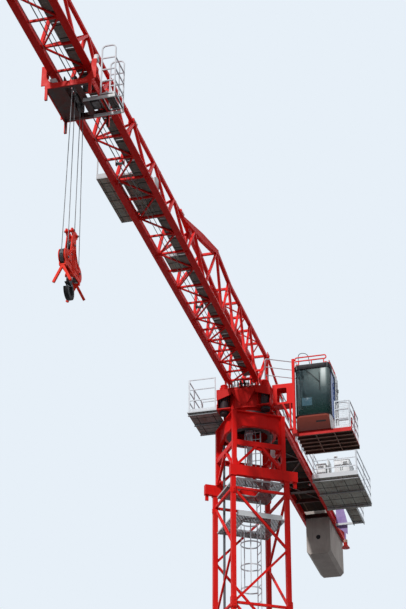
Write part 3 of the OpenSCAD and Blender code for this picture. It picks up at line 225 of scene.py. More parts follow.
def makeFloor():
    bpy.ops.mesh.primitive_plane_add(size=studio["floorSize"], location=(0, 0, studio["floorDrop"]))
    floor = bpy.context.object
    floor.name = "studio_floor"
    paint = Paint("floorPaint")
    tint = paint.mix(paint.cloud(0.4, 0.3, 0.7, 3, 0.55), *studio["floorColours"])
    floor.data.materials.append(paint.finish(Base_Color=tint, Roughness=0.9))
    dim = paint.add("ShaderNodeBsdfDiffuse", {}, {"Color": studio["floorBounce"]})
    shown = Wire(paint, paint.shader.outputs[0])
    paint.show(paint.add("ShaderNodeMixShader", {}, {0: paint.seen(), 1: dim, 2: shown}))


makeWorld()
makeFloor()
print("world and floor made")

# finishes: what each slot of the record looks like

far = 99.0  # an open end of a range

tones = {
    "red": (0.72, 0.012, 0.01),
    "redDirt": (0.28, 0.012, 0.01),
    "chip": (0.16, 0.05, 0.03),  # bare rusty metal where paint came off
    "treads": (0.2, 0.21, 0.22),
    "rust": (0.115, 0.07, 0.045),
    "ribEdge": (0.4, 0.27, 0.2),
    # dark gaps between deck plates: painted shade
    "seam": (0.016, 0.016, 0.018),
}

marks = {  # where a node changes its finish, as ranges along X, Y and Z
    "cabNose": {"x": (-0.1, far), "y": (-far, 1.49), "z": (-far, 14.478)},
    # slit in the cab's nose, painted dark as shade
    "noseSlit": {"y": (1.235, 1.415), "z": (14.355, 14.38)},
    "cabPillars": {"x": (-0.062, far), "z": (14.478, far)},
    "cabLintel": {"x": (-0.1, far), "z": (15.43, 15.47)},
    # walkway underside between the ribs, the ribs' sides included: painted shade
    "floorPaintedShade": {"x": (-far, -0.1), "z": (14.1746, 14.215)},
    "floorPlank": {"x": (-far, -0.1), "z": (14.215, 14.2205)},
    "floorRibs": {"x": (-far, -0.1), "z": (-far, 14.1747)},
    # inner parts of the trolley frame and of the counter-jib girders, painted dark as shade
    "trolleyShadedInside": {"x": (9.39, 10.17), "y": (-0.315, 0.315), "z": (-far, 14.98)},
    "girdersShadedInside": {"x": (-9.0, -1.05), "y": (-0.262, 0.262), "z": (-far, 15.2)},
    "sidePane": {"x": (-far, -0.052), "y": (1.2, far)},
}


def painted(name, colour, faded, dirt, wear):
    paint = Paint(name)
    patches = paint.cloud(2.2, 0.35, 0.75, 4, 0.55)
    runs = paint.cloud(3.0, 0.5, 0.78, stretch=(9, 9, 0.7))
    grain = paint.noise(60, 3, 0.7)
    chips = paint.cloud(34, 0.69, 0.72, 4, 0.7) * wear
    tint = paint.mix(patches * 0.55, colour, faded)
    tint = paint.mix(runs * 0.38, tint, dirt)
    tint = paint.mix(chips, tint, tones["chip"])
    return paint.finish(Base_Color=tint, Roughness=0.38 + patches * 0.12 + runs * 0.16 + grain * 0.08,
                        Specular_IOR_Level=0.07, Normal=paint.bump(grain * 0.5 - chips, 0.12, 0.002))


def galvanised(name, colour, dark):
    paint = Paint(name)
    spangle = paint.add("ShaderNodeTexVoronoi", {}, {"Vector": paint.place(), "Scale": 95.0}, "Color")
    flake = paint.add("ShaderNodeSeparateColor", {}, {0: spangle})
    cloud = paint.cloud(4.5, 0.3, 0.75, 5, 0.6)
    tint = paint.mix(flake * 0.35, colour, dark)
    tint = paint.mix(cloud * 0.35, tint, dark)
    return paint.finish(Base_Color=tint, Roughness=0.46 + flake * 0.12 + cloud * 0.1, Metallic=0.1,
                        Specular_IOR_Level=0.25, Normal=paint.bump(paint.noise(70, 3), 0.1, 0.001))


def grating(name, colour, shadeBelow, pitch, top=far, open=0.0):  # zinc deck plates, seen from above and from below; the undersides get painted shade, with real rust and stains on them
    paint = Paint(name)
    facing = paint.add("ShaderNodeSeparateXYZ", {}, {0: paint.add("ShaderNodeNewGeometry", output="Normal")}, 2)
    x, y, z = paint.axes()
    plates = z < top
    # faces that point down take the painted shade colour
    shadedUnder = (facing < -0.5) * plates
    upper = (facing > 0.5) * plates
    grid = paint.either(paint.ridges(x, 0.022, 0.35), paint.ridges(y, 0.05, 0.16))
    # gaps between the plates, painted dark as shade
    seams = paint.either(paint.ridges(x, pitch[0], 0.085), paint.ridges(y, pitch[1], 0.05))
    ribs = paint.ridges(y, pitch[1] / 3, 0.16)  # light edges of the ribs, rubbed in places
    rust = paint.cloud(3.4, 0.42, 0.72)
    stain = paint.cloud(3.0, 0.4, 0.7, 5, 0.7, (3, 11, 3))
    deck = paint.mix(grid * upper * 0.45, colour, tones["treads"])
    # painted shade under the plates, with real rust and stains
    low = paint.mix(rust * 0.7, shadeBelow, tones["rust"])
    low = paint.mix(stain * 0.35, low, [c * 1.9 for c in shadeBelow])
    low = paint.mix(ribs * (0.25 + rust * 0.45), low, tones["ribEdge"])
    low = paint.mix(seams * 0.9, low, tones["seam"])
    if open:
        paint.finish(Alpha=1 - (1 - grid) * paint.either(shadedUnder, upper) * open)
    return paint.finish(Base_Color=paint.mix(shadedUnder, deck, low), Roughness=0.6 + rust * 0.2,
                        Specular_IOR_Level=0.04, Normal=paint.bump(grid * upper, 0.25, 0.002))


def cabPaint(name):  # white shell with black pillars and the red-brown nose under the front glass, with painted shade in the nose's slit
    paint = Paint(name)
    z = paint.axes()[2]
    dust = paint.cloud(5, 0.45, 0.8)
    runs = paint.cloud(3.0, 0.5, 0.78, stretch=(8, 8, 0.7))
    shell = paint.mix(runs * 0.3 + dust * 0.15, (0.7, 0.71, 0.72), (0.34, 0.33, 0.31))
    tone = paint.mix(paint.spread(z, 14.25, 14.47), (0.12, 0.022, 0.016), (0.3, 0.058, 0.034))
    tone = paint.mix(dust * 0.5, tone, (0.14, 0.05, 0.035))
    # painted shade in the nose's slit
    tone = paint.mix(paint.within(**marks["noseSlit"]), tone, (0.012, 0.01, 0.01))
    tint = paint.mix(paint.within(**marks["cabNose"]), shell, tone)
    dark = paint.either(paint.within(**marks["cabPillars"]), paint.within(**marks["cabLintel"]))
    return paint.worn(paint.mix(dark, tint, (0.02, 0.021, 0.023)), dust, 0.36, 0.2, 0.3, 0.08)


def ribbedUnderside(name):  # red walkway whose underside has painted shade between light ribs
    paint = Paint(name)
    rust = paint.cloud(4.0, 0.4, 0.72)
    red = paint.mix(rust * 0.4, (0.56, 0.012, 0.01), (0.26, 0.014, 0.012))
    red = paint.mix(paint.within(**marks["floorRibs"]), red, (0.3, 0.17, 0.13))
    plank = paint.mix(rust, (0.14, 0.08, 0.058), (0.26, 0.15, 0.11))
    red = paint.mix(paint.within(**marks["floorPlank"]), red, plank)
    # painted shade under the walkway, mottled by the rust cloud
    dark = paint.mix(rust, (0.03, 0.018, 0.015), (0.105, 0.045, 0.034))
    return paint.worn(paint.mix(paint.within(**marks["floorPaintedShade"]), red, dark), rust, 0.5, 0.2, 0.16, 0.1)


def panelPaint(name):  # purple panel with the red hood of its lamp, the hood's upper part a painted highlight
    paint = Paint(name)
    z = paint.axes()[2]
    cloud = paint.cloud(6, 0.3, 0.75)
    purple = paint.mix(cloud, (0.2, 0.125, 0.34), (0.33, 0.25, 0.44))
    red = paint.mix(cloud, (0.62, 0.02, 0.014), (0.45, 0.015, 0.012))
    # painted highlight on the upper part of the lamp's hood
    pale = paint.mix(cloud, (0.6, 0.34, 0.24), (0.5, 0.3, 0.3))
    hood = paint.mix(z > 14.6, red, pale)
    return paint.worn(paint.mix(z < 14.668, purple, hood), cloud, 0.42, 0.15, 0.2, 0.1)


def motorPaint(name):  # slewing motors: black drums under a red cap
    paint = Paint(name)
    z = paint.axes()[2]
    grease = paint.cloud(12, 0.35, 0.7)
    black = paint.mix(grease, (0.014, 0.012, 0.014), (0.06, 0.03, 0.035))
    red = paint.mix(grease * 0.4, (0.7, 0.014, 0.012), tones["redDirt"])
    return paint.worn(paint.mix(z > 14.985, black, red), grease, 0.4, 0.25, 0.15, 0.12)


def headPaint(name):  # tower head: red outside, painted shade inside the ring that carries the slewing bearing
    paint = Paint(name)
    x, y, z = paint.axes()
    reach = (x * x + y * y) ** 0.5
    runs = paint.cloud(3.0, 0.5, 0.78, stretch=(9, 9, 0.7))
    # painted shade inside the ring, from 13.95 m upwards
    inner = (1 - paint.spread(reach, 0.415, 0.44)) * paint.spread(z, 13.95, 14.15)
    red = paint.mix(runs * 0.35, tones["red"], (0.3, 0.012, 0.01))
    dark = paint.mix(runs, (0.028, 0.014, 0.013), (0.08, 0.02, 0.016))
    return paint.worn(paint.mix(inner, red, dark), runs, 0.42, 0.15, 0.07, 0.08)


def frameShadedInside(name, colour, inside):  # red frame whose inner parts are darkened with painted shade, mottled by the grease cloud, which also dirties the red
    paint = Paint(name)
    grease = paint.cloud(9, 0.35, 0.7)
    # painted shade for the inner parts
    dark = paint.mix(grease, (0.02, 0.012, 0.011), (0.1, 0.022, 0.016))
    red = paint.mix(grease * 0.3, colour, tones["redDirt"])
    return paint.worn(paint.mix(paint.within(**inside), red, dark), grease, 0.42, 0.25, 0.16, 0.12)


def darkSteel(name, colour):
    paint = Paint(name)
    stain = paint.cloud(14, 0.35, 0.7)
    return paint.finish(Base_Color=paint.mix(stain, colour, (0.05, 0.04, 0.035)), Roughness=0.38 + stain * 0.25,
                        Metallic=0.7, Normal=paint.bump(paint.noise(120, 3), 0.15, 0.0008))


def concrete(name):
    paint = Paint(name)
    cloud = paint.noise(3.2, 6, 0.62)
    pores = paint.add("ShaderNodeTexVoronoi", {}, {"Vector": paint.place(), "Scale": 55.0})
    holes = 1 - paint.spread(pores, 0.02, 0.16)
    streak = paint.cloud(3.5, 0.55, 0.8, 4, 0.55, (7, 7, 0.6))
    tint = paint.mix(paint.spread(cloud, 0.3, 0.72), (0.33, 0.285, 0.255), (0.46, 0.41, 0.375))
    tint = paint.mix(holes * 0.6, tint, (0.1, 0.09, 0.085))
    tint = paint.mix(streak * 0.4, tint, (0.13, 0.115, 0.1))
    return paint.finish(Base_Color=tint, Roughness=0.86, Normal=paint.bump(cloud - holes * 0.4, 0.3, 0.004))


def glass(name):  # dark front glass, darker towards the bottom as painted shade, with a painted pale reflection in the upper corner, painted reflections of branches and a painted highlight, and a blue side pane
    paint = Paint(name)
    x, y, z = paint.axes()
    film = paint.cloud(6, 0.45, 0.8, 4, 0.55)
    side = paint.within(**marks["sidePane"])
    blur = paint.noise(2.2, 4) - 0.5
    # painted pale reflection in the upper corner of the front glass
    pale = paint.spread(z + blur * 0.25, 14.9, 15.3) * paint.spread(y + blur * 0.2, 1.00, 1.22)
    # the gleam is a painted highlight
    gleam = paint.spread(y + blur * 0.05, 1.335, 1.375) * (1 - paint.spread(y, 1.43, 1.46))
    gleam = gleam * paint.spread(z, 15.02, 15.36)
    # painted reflection of branches
    branchReflection = paint.cloud(1.4, 0.5, 0.56, 4, 0.7, (0, 13, 3.0)) * (1 - paint.spread(y, 1.02, 1.16))
    # darker towards the bottom: painted shade of the cab's inside
    front = paint.mix(paint.spread(z, 14.55, 15.00), (0.01, 0.036, 0.03), (0.06, 0.095, 0.105))
    front = paint.mix(pale * 0.8, front, (0.24, 0.3, 0.29))
    front = paint.mix(branchReflection * 0.7, front, (0.01, 0.014, 0.016))
    front = paint.mix(gleam, front, (0.72, 0.8, 0.78))
    blue = paint.mix(paint.spread(z, 14.5, 15.4), (0.02, 0.12, 0.55), (0.016, 0.06, 0.26))
    return paint.finish(Base_Color=paint.mix(side, front, blue), Roughness=0.05 + film * 0.06,
                        Alpha=0.55 + side * 0.35 + pale * 0.2 + gleam * 0.15, Specular_IOR_Level=0.06)


def fabric(name):
    paint = Paint(name)
    weave = paint.add("ShaderNodeTexWave", {}, {"Vector": paint.place(), "Scale": 160.0})
    tint = paint.mix(weave, (0.02, 0.022, 0.026), (0.045, 0.048, 0.055))
    return paint.finish(Base_Color=tint, Roughness=0.9, Normal=paint.bump(weave, 0.3, 0.001))


def rubber(name):
    paint = Paint(name)
    dust = paint.cloud(9, 0.45, 0.8, 4, 0.55)
    tint = paint.mix(dust, (0.06, 0.063, 0.075), (0.13, 0.125, 0.125))
    return paint.finish(Base_Color=tint, Roughness=0.6 + dust * 0.2)


def ropeWires(name):  # wires laid round the rope
    paint = Paint(name)
    lay = paint.add("ShaderNodeTexWave", {}, {"Vector": paint.place((1, 1, 1), (0.6, 0.5, 0)), "Scale": 60.0})
    grease = paint.cloud(7, 0.4, 0.75, 4, 0.55)
    tint = paint.mix(lay, (0.1, 0.1, 0.105), (0.3, 0.3, 0.31))
    tint = paint.mix(grease * 0.6, tint, (0.05, 0.045, 0.04))
    return paint.finish(Base_Color=tint, Roughness=0.45 + grease * 0.2, Metallic=0.3, Specular_IOR_Level=0.2,
                        Normal=paint.bump(lay, 0.4, 0.001))


def screenFace(name):
    paint = Paint(name)
    shown = paint.mix(paint.cloud(2, 0.45, 0.6, 2, 0.55, (1, 30, 30)), (0.1, 0.32, 0.52), (0.42, 0.66, 0.8))
    return paint.finish(Base_Color=shown, Roughness=0.25, Emission_Color=shown, Emission_Strength=0.6)


finishes = {  # colour, faded colour, dirt and wear for the paints
    "red_paint": painted("redPaint", tones["red"], (0.74, 0.03, 0.022), (0.26, 0.014, 0.012), 0.55),
    "dark_red_paint": painted("darkRedPaint", (0.56, 0.012, 0.01), (0.6, 0.03, 0.025), (0.16, 0.014, 0.012), 0.6),
    "galvanised": galvanised("zincCoat", (0.62, 0.65, 0.68), (0.4, 0.43, 0.46)),
    "dark_steel": darkSteel("oiledSteel", (0.085, 0.085, 0.09)),
    "cable_sheath": rubber("cableSheath"),
    "white_paint": painted("whitePaint", (0.74, 0.75, 0.75), (0.68, 0.69, 0.7), (0.36, 0.35, 0.33), 0.2),
    "window_glass": glass("cabGlass"),
    "seat_cover": fabric("seatFabric"),
    "concrete": concrete("castConcrete"),
    "panel_paint": panelPaint("panelPaint"),
    "black_paint": painted("blackPaint", (0.022, 0.022, 0.024), (0.04, 0.04, 0.042), (0.012, 0.012, 0.012), 0.4),
}

special = {  # nodes whose finish changes by place; for decks: colour above, painted shade colour below, pitch of the seams
    "cab_shell": cabPaint("cabShellPaint"),
    "cab_platform": ribbedUnderside("walkwayPaint"),
    "tower_head": headPaint("headPaint"),
    "slew_motors": motorPaint("slewMotorPaint"),
    "block_frame": painted("blockPaint", (0.84, 0.03, 0.014), (0.86, 0.062, 0.03), (0.34, 0.02, 0.014), 0.42),
    "trolley_frame": frameShadedInside("trolleyPaint", (0.74, 0.02, 0.014), marks["trolleyShadedInside"]),
    "counter_jib_girders": frameShadedInside("girderPaint", (0.7, 0.012, 0.01), marks["girdersShadedInside"]),
    "service_platform": grating("servicePlates", (0.58, 0.6, 0.62), (0.3, 0.305, 0.29), (0.235, 0.31)),
    "switchgear_platform": grating("switchgearPlates", (0.58, 0.6, 0.62), (0.42, 0.43, 0.38), (0.32, 0.236)),
    "jib_platforms": grating("winchDeckPlates", (0.52, 0.54, 0.55), (0.38, 0.38, 0.32), (0.24, 0.17)),
    "jib_walkway": grating("walkPlates", (0.46, 0.48, 0.5), (0.24, 0.225, 0.2), (0.275, 0.6)),
    "counter_jib_deck": grating("counterPlates", (0.5, 0.52, 0.53), (0.026, 0.017, 0.014), (0.5, 0.6)),
    "rest_platforms": grating("mastPlates", (0.55, 0.57, 0.58), (0.22, 0.23, 0.235), (0.3, 0.3), open=0.75),
    "trolley_basket": grating("basketPlates", (0.62, 0.65, 0.68), (0.1, 0.075, 0.07), (0.1, 0.055), 14.835, 0.5),
}

slotOf = {part["node"]: part["material_slot"] for part in frame["record"]["subparts"]}
for name, piece in nodes.items():
    piece.data.materials.clear()
    piece.data.materials.append(special.get(name, finishes[slotOf[name]]))
print("finishes set on the frame")

# making tools: each leaves one mesh with its place in the mesh

making = {"edgeSegments": 2, "sharpAngle": math.radians(35), "weld": 0.0001, "arcSteps": (0, 0.25, 0.5, 0.75, 1)}


def pick(thing):
    bpy.ops.object.select_all(action="DESELECT")
    thing.select_set(True)
    bpy.context.view_layer.objects.active = thing
    return thing


def settle(thing):
    pick(thing)
    bpy.ops.object.transform_apply(location=True, rotation=True, scale=True)
    return thing


def soften(thing, width):
    bevel = thing.modifiers.new("edges", "BEVEL")
    bevel.width = width
    bevel.segments = making["edgeSegments"]
    bevel.limit_method = "ANGLE"
    bevel.angle_limit = making["sharpAngle"]
    bpy.context.view_layer.objects.active = thing
    bpy.ops.object.modifier_apply(modifier="edges")
    return thing


def aimed(along):  # turns what points up to point along a direction
    return Vector(along).to_track_quat("Z", "Y")


def block(low, high, edge=0.0):
    size = [b - a for a, b in zip(low, high)]
    bpy.ops.mesh.primitive_cube_add(size=1, location=[(a + b) / 2 for a, b in zip(low, high)], scale=size)
    thing = settle(bpy.context.object)
    return soften(thing, edge) if edge else thing


def rod(start, end, radius, sides=12, edge=0.0):
    start, end = Vector(start), Vector(end)
    bpy.ops.mesh.primitive_cylinder_add(vertices=sides, radius=radius, depth=(end - start).length,
                                        location=(start + end) / 2, rotation=aimed(end - start).to_euler())
    thing = settle(bpy.context.object)
    return soften(thing, edge) if edge else thing


def turned(profile, foot, along=(0, 0, 1), sides=32):  # radius and height pairs, from the foot upwards
    radius, height = profile[0]
    bpy.ops.mesh.primitive_circle_add(vertices=sides, radius=radius, fill_type="NGON", location=(0, 0, height))
    thing = settle(bpy.context.object)
    bpy.ops.object.mode_set(mode="EDIT")
    bpy.ops.mesh.select_all(action="SELECT")
    for (r0, h0), (r1, h1) in zip(profile, profile[1:]):
        bpy.ops.mesh.extrude_region_move(TRANSFORM_OT_translate={"value": (0, 0, h1 - h0)})
        bpy.ops.transform.resize(value=(r1 / r0, r1 / r0, 1), center_override=(0, 0, h1))
    bpy.ops.mesh.select_all(action="SELECT")
    bpy.ops.mesh.normals_make_consistent(inside=False)
    bpy.ops.object.mode_set(mode="OBJECT")
    thing.data.transform(Matrix.Translation(foot) @ aimed(along).to_matrix().to_4x4())
    return thing


def rounded(points, corner, closed):  # the corners of a path turned into short arcs
    points = [Vector(p) for p in points]
    if not corner:
        return points
    path = []
    for n, here in enumerate(points):
        if not closed and n in (0, len(points) - 1):
            path.append(here)
            continue
        back, ahead = points[n - 1] - here, points[(n + 1) % len(points)] - here
        cut = min(corner, back.length * 0.49, ahead.length * 0.49)
        a, b = here + back.normalized() * cut, here + ahead.normalized() * cut
        path += [a * (1 - t) ** 2 + here * 2 * t * (1 - t) + b * t ** 2 for t in making["arcSteps"]]
    return path


def pipe(points, radius, corner=0.0, closed=False, height=0.0, detail=1):
    curve = bpy.data.curves.new("pipe", "CURVE")
    curve.dimensions = "3D"
    curve.twist_mode = "Z_UP"
    curve.bevel_depth = radius
    curve.bevel_resolution = detail
    curve.extrude = height / 2
    curve.use_fill_caps = not closed
    path = rounded(points, corner, closed)
    spline = curve.splines.new("POLY")
    spline.points.add(len(path) - 1)
    for point, place in zip(spline.points, path):
        point.co = (*place, 1)
    spline.use_cyclic_u = closed
    thing = bpy.data.objects.new("pipe", curve)
    bpy.context.collection.objects.link(thing)
    pick(thing)
    bpy.ops.object.convert(target="MESH")
    bpy.ops.object.mode_set(mode="EDIT")
    bpy.ops.mesh.select_all(action="SELECT")
    bpy.ops.mesh.remove_doubles(threshold=making["weld"])
    bpy.ops.mesh.normals_make_consistent(inside=False)
    bpy.ops.object.mode_set(mode="OBJECT")
    return bpy.context.object


def blocks(rows):  # low corner, high corner and edge of each
    return [block(*row) for row in rows]


def rods(rows):  # start, end, radius and sides of each
    return [rod(*row) for row in rows]


def pipes(paths, radius, corner=0.0, detail=1):
    return [pipe(path, radius, corner, detail=detail) for path in paths]


def hoop(a, b, low, high):  # a path up from a, over to b and down again, a and b given as (x, y)
    return [(*a, low), (*a, high), (*b, high), (*b, low)]


def copyAt(thing, matrix):
    twin = thing.copy()
    twin.data = thing.data.copy()
    bpy.context.collection.objects.link(twin)
    twin.data.transform(matrix)
    return twin


def ring(radius, count, start=0.0):  # points of a circle
    turns = [2 * math.pi * (n + start) / count for n in range(count)]
    return [(radius * math.cos(a), radius * math.sin(a)) for a in turns]


def boltHeads(places, radius):  # hexagon heads on washers, from one head: place and the way it points
    washer = turned([(radius * 1.5, 0), (radius * 1.5, radius * 0.3)], (0, 0, 0), sides=12)
    head = turned([(radius, radius * 0.3), (radius, radius * 1.0), (radius * 0.8, radius * 1.15)], (0, 0, 0), sides=6)
    heads = []
    for place, along in places:
        aim = Matrix.Translation(place) @ aimed(along).to_matrix().to_4x4()
        heads += [copyAt(washer, aim), copyAt(head, aim)]
    for start in (washer, head):
        bpy.data.objects.remove(start)
    return heads


def assemble(name, slot, things, body="superstructure", finish=None):  # joins things into one piece
    piece = pick(things[0])
    for thing in things:
        thing.select_set(True)
    if len(things) > 1:
        bpy.ops.object.join()
    piece.name = piece.data.name = name
    piece.data.materials.clear()
    piece.data.materials.append(finish or finishes[slot])
    bpy.ops.object.shade_smooth_by_angle(angle=making["sharpAngle"])
    if body:
        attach(piece, body)
    return piece


bothSides = (-1, 1)

# the cab's trim and what shows inside

cab = {
    "front": 0.09, "lean": 0.0385, "left": 0.87, "right": 1.515,
    "glassLow": 14.495, "glassHigh": 15.44, "corner": 0.156, "seal": (-0.45, -0.06),
    "bands": [  # height, back end, how far proud, half thickness, width, detail: visor, sill and head
        (15.48, -0.16, 0.006, 0.007, 0.075, 1), (14.491, -0.1, 0.002, 0.007, 0.0, 2),
        (15.442, -0.1, 0.002, 0.006, 0.0, 2)],
    "wiperArm": [(15.44, 0.012, 1.05, 15.445), (15.3, 0.014, 1.17, 15.32), (15.15, 0.01, 1.325, 15.145)],
    "wiperBlade": [(14.96, 0.008, 1.334, 14.96), (15.34, 0.008, 1.326, 15.34)],
    "wiperBoss": (15.44, -0.004, 1.05, 15.448),
    "hingesAt": (14.55, 15.3),
    "handle": (-0.6, 1.516, 1.545, 14.9, 15.02),
    "grabRails": [(-0.505, 1.512, 1.548, 14.62, 15.36), (-0.47, 0.873, 0.845, 14.62, 15.36)],
}

cabInside = {
    "blocks": [  # shelf, hood, arm pods, screen and blind
        ((-0.095, 0.925, 14.5), (0.055, 1.46, 14.615), 0.02), ((-0.06, 1.02, 14.61), (0.03, 1.37, 14.665), 0.02),
        ((-0.44, 0.955, 14.62), (-0.25, 1.025, 14.705), 0.015), ((-0.44, 1.36, 14.62), (-0.25, 1.43, 14.705), 0.015),
        ((-0.01, 0.975, 14.7), (0.008, 1.18, 14.88), 0.006), ((-0.46, 0.9, 15.455), (-0.02, 1.485, 15.475), 0.006)],
    "rods": [  # screen stalk, blind roller and headrest stems
        ((0.0, 1.08, 14.62), (0.0, 1.08, 14.72), 0.01, 10),
        ((-0.035, 0.92, 15.445), (-0.035, 1.465, 15.445), 0.016, 14),
        ((-0.53, 1.15, 14.86), (-0.53, 1.15, 14.99), 0.007, 8),
        ((-0.53, 1.235, 14.86), (-0.53, 1.235, 14.99), 0.007, 8)],
    "stick": [(0.024, 0), (0.02, 0.012), (0.013, 0.02), (0.01, 0.05), (0.017, 0.062), (0.018, 0.085), (0.008, 0.097)],
    "sticksAt": [(-0.3, 0.99, 14.703), (-0.3, 1.395, 14.703)],
    "headrest": ((-0.56, 1.11, 14.955), (-0.5, 1.275, 15.085), 0.025),
    "screen": ((0.008, 0.985, 14.71), (0.0105, 1.17, 14.87), 0.001),
}


def onFront(level, proud, y, z):  # a place on the leaning front glass
    return (cab["front"] - cab["lean"] * (level - cab["glassLow"]) + proud, y, z)


def roundFront(z, back, proud):  # a path round the cab's front at one height
    left, right = cab["left"] - proud, cab["right"] + proud
    return [(back, left, z), onFront(z, proud, left, z), onFront(z, proud, right, z), (back, right, z)]


def staple(x, foot, out, low, high):  # a bar that stands off a wall
    return [(x, foot, low), (x, out, low), (x, out, high), (x, foot, high)]


def makeCabTrim():
    trim = [pipe(roundFront(z, back, proud), thick, cab["corner"], height=width, detail=detail)
            for z, back, proud, thick, width, detail in cab["bands"]]
    low, high, (back, front) = cab["glassLow"], cab["glassHigh"], cab["seal"]
    for y in (cab["left"] - 0.001, cab["right"] + 0.001):
        seal = [(back, y, low), (front, y, low), (front, y, high), (back, y, high)]
        trim.append(pipe(seal, 0.007, 0.05, closed=True, detail=2))
        trim.append(block((front, y - 0.003, low + 0.005), (front + 0.024, y + 0.003, high), 0.001))
    trim.append(pipe([onFront(*p) for p in cab["wiperArm"]], 0.0042, 0.05))
    trim.append(rod(*[onFront(*p) for p in cab["wiperBlade"]], 0.0048, 6))
    trim.append(turned([(0.02, 0), (0.02, 0.012), (0.012, 0.02)], onFront(*cab["wiperBoss"]), (1, 0, 0), 16))
    trim.append(pipe([(-0.515, 1.535 + 0.01 * (-1) ** n, 14.66 + n * 0.05) for n in range(14)], 0.0045, 0.02))
    trim.append(pipe(staple(*cab["handle"]), 0.006, 0.015))
    trim.append(block((-0.625, 1.514, 14.875), (-0.575, 1.52, 15.045), 0.004))
    trim += [rod((-0.735, 1.521, z - 0.035), (-0.735, 1.521, z + 0.035), 0.01, 10, 0.002) for z in cab["hingesAt"]]
    assemble("cab_trim", "black_paint", trim)
    assemble("cab_grab_rails", "white_paint", pipes([staple(*rail) for rail in cab["grabRails"]], 0.01, 0.03, 2))


def makeCabInside():
    sticks = [turned(cabInside["stick"], place, sides=16) for place in cabInside["sticksAt"]]
    assemble("cab_fittings", "black_paint", blocks(cabInside["blocks"]) + rods(cabInside["rods"]) + sticks)
    headrest = assemble("seat_headrest", "seat_cover", [block(*cabInside["headrest"])])
    assemble("cab_screen", "window_glass", [block(*cabInside["screen"])], finish=screenFace("screenFace"))


makeCabTrim()
makeCabInside()
print("cab dressed")

# the ropes along the jib and what rides on the trolley

ropes = {
    "lines": [
        ((0.56, -0.034, 15.052), (16.14, -0.034, 15.052), 0.0055, 8),
        ((0.56, 0.034, 15.052), (16.14, 0.034, 15.052), 0.0055, 8),
        ((7.05, -0.165, 15.052), (16.14, -0.165, 15.052), 0.0045, 8),
        ((7.05, -0.145, 15.3), (16.14, -0.145, 15.3), 0.0045, 8)],
    "rollersAt": (3.5, 7.9, 12.3),
    "roller": [(0.028, 0), (0.04, 0.006), (0.022, 0.012), (0.022, 0.108), (0.04, 0.114), (0.028, 0.12)],
}

falls = {"x": 9.78, "step": 0.1123, "low": 12.2005, "high": 14.9175, "lean": 0.041, "radius": 0.0055}

trolley = {
    "drum": [(0.05, 0), (0.062, 0.006), (0.062, 0.012), (0.044, 0.018), (0.04, 0.075), (0.044, 0.132), (0.062, 0.138),
             (0.062, 0.144), (0.05, 0.15)],
    "drumsAt": (9.58, 9.98),
    "sheave": [(0.045, 0), (0.055, 0.01), (0.055, 0.09), (0.045, 0.1)],
    "motor": [(0.028, 0), (0.034, 0.006), (0.034, 0.1), (0.028, 0.106)],
    "lamp": [(0.03, 0), (0.036, 0.006), (0.036, 0.05), (0.022, 0.06)],
    "darkBlocks": [((9.66, -0.29, 14.815), (9.9, -0.14, 14.93), 0.012), ((9.52, 0.11, 14.815), (9.7, 0.27, 14.88),
        0.012)],
    "paleBlocks": [((10.03, -0.33, 14.915), (10.13, -0.2, 14.99), 0.01), ((10.075, 0.335, 15.165),
        (10.165, 0.395, 15.215), 0.012)],
    "basketBars": [(9.85, 0.1), (9.46, 0.125)],  # place along the jib and inner end
    "cornerBolts": [(x, z) for x in (9.4, 9.47, 10.09, 10.16) for z in (14.815, 14.872)],
    "sideBolts": [(x, 14.843) for x in (9.5, 9.64, 9.78, 9.92, 10.06)],
}


def makeJibRopes():
    rollers = [turned(ropes["roller"], (x, -0.06, 15.022), (0, 1, 0), 20) for x in ropes["rollersAt"]]
    assemble("jib_ropes", "dark_steel", rods(ropes["lines"]) + rollers)
    assemble("rope_roller_brackets", "red_paint", [
        block((x - 0.012, y, 14.998), (x + 0.012, y + 0.006, 15.112), 0.002)
        for x in ropes["rollersAt"] for y in (-0.068, 0.064)])


def makeRopeFalls():  # the four falls stretch between the trolley and the hook block
    strands = []
    for side in bothSides:
        for steps, lean in ((3, side * falls["lean"]), (1, 0.0)):
            x = falls["x"] + side * steps * falls["step"]
            strands.append(rod((x, 0, falls["low"]), (x, lean, falls["high"]), falls["radius"]))
    piece = assemble("rope_falls", "dark_steel", strands, None, ropeWires("wireRope"))
    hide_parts("hoist_ropes")
    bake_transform(piece)


def makeTrolleyGear():
    dark = [turned(trolley["drum"], (x, -0.285, 14.905), (0, 1, 0), 28) for x in trolley["drumsAt"]]
    dark += blocks(trolley["darkBlocks"]) + [turned(trolley["sheave"], (9.93, 0.13, 14.89), (0, 1, 0), 24)]
    assemble("trolley_mechanism", "dark_steel", dark, "trolley")
    pale = blocks(trolley["paleBlocks"])
    pale.append(turned(trolley["motor"], (10.03, -0.34, 14.965), (-1, 0.2, 0), 20))
    pale.append(turned(trolley["lamp"], (10.12, 0.365, 15.21), sides=20))
    for x, inner in trolley["basketBars"]:
        pale.append(block((x - 0.008, inner, 14.74), (x + 0.008, 0.556, 14.788), 0.003))
        pale.append(block((x - 0.01, 0.52, 14.786), (x + 0.01, 0.548, 14.812), 0.002))
    assemble("trolley_pale_gear", "white_paint", pale, "trolley")
    red = [block((10.03, 0.335, 15.02), (10.15, 0.375, 15.1), 0.008)]
    red += [block((x - 0.006, y - 0.005, 14.8), (x + 0.006, y + 0.005, 14.868), 0.002)
            for x in (9.386, 10.174) for y in (-0.3, -0.22, 0.22, 0.3)]
    red += boltHeads([((x, side * 0.333, z), (0, side, 0))
                      for x, z in trolley["cornerBolts"] + trolley["sideBolts"] for side in bothSides], 0.0085)
    assemble("trolley_small_parts", "red_paint", red, "trolley")


makeJibRopes()
makeRopeFalls()
makeTrolleyGear()
print("ropes and trolley gear made")

# mast and tower head

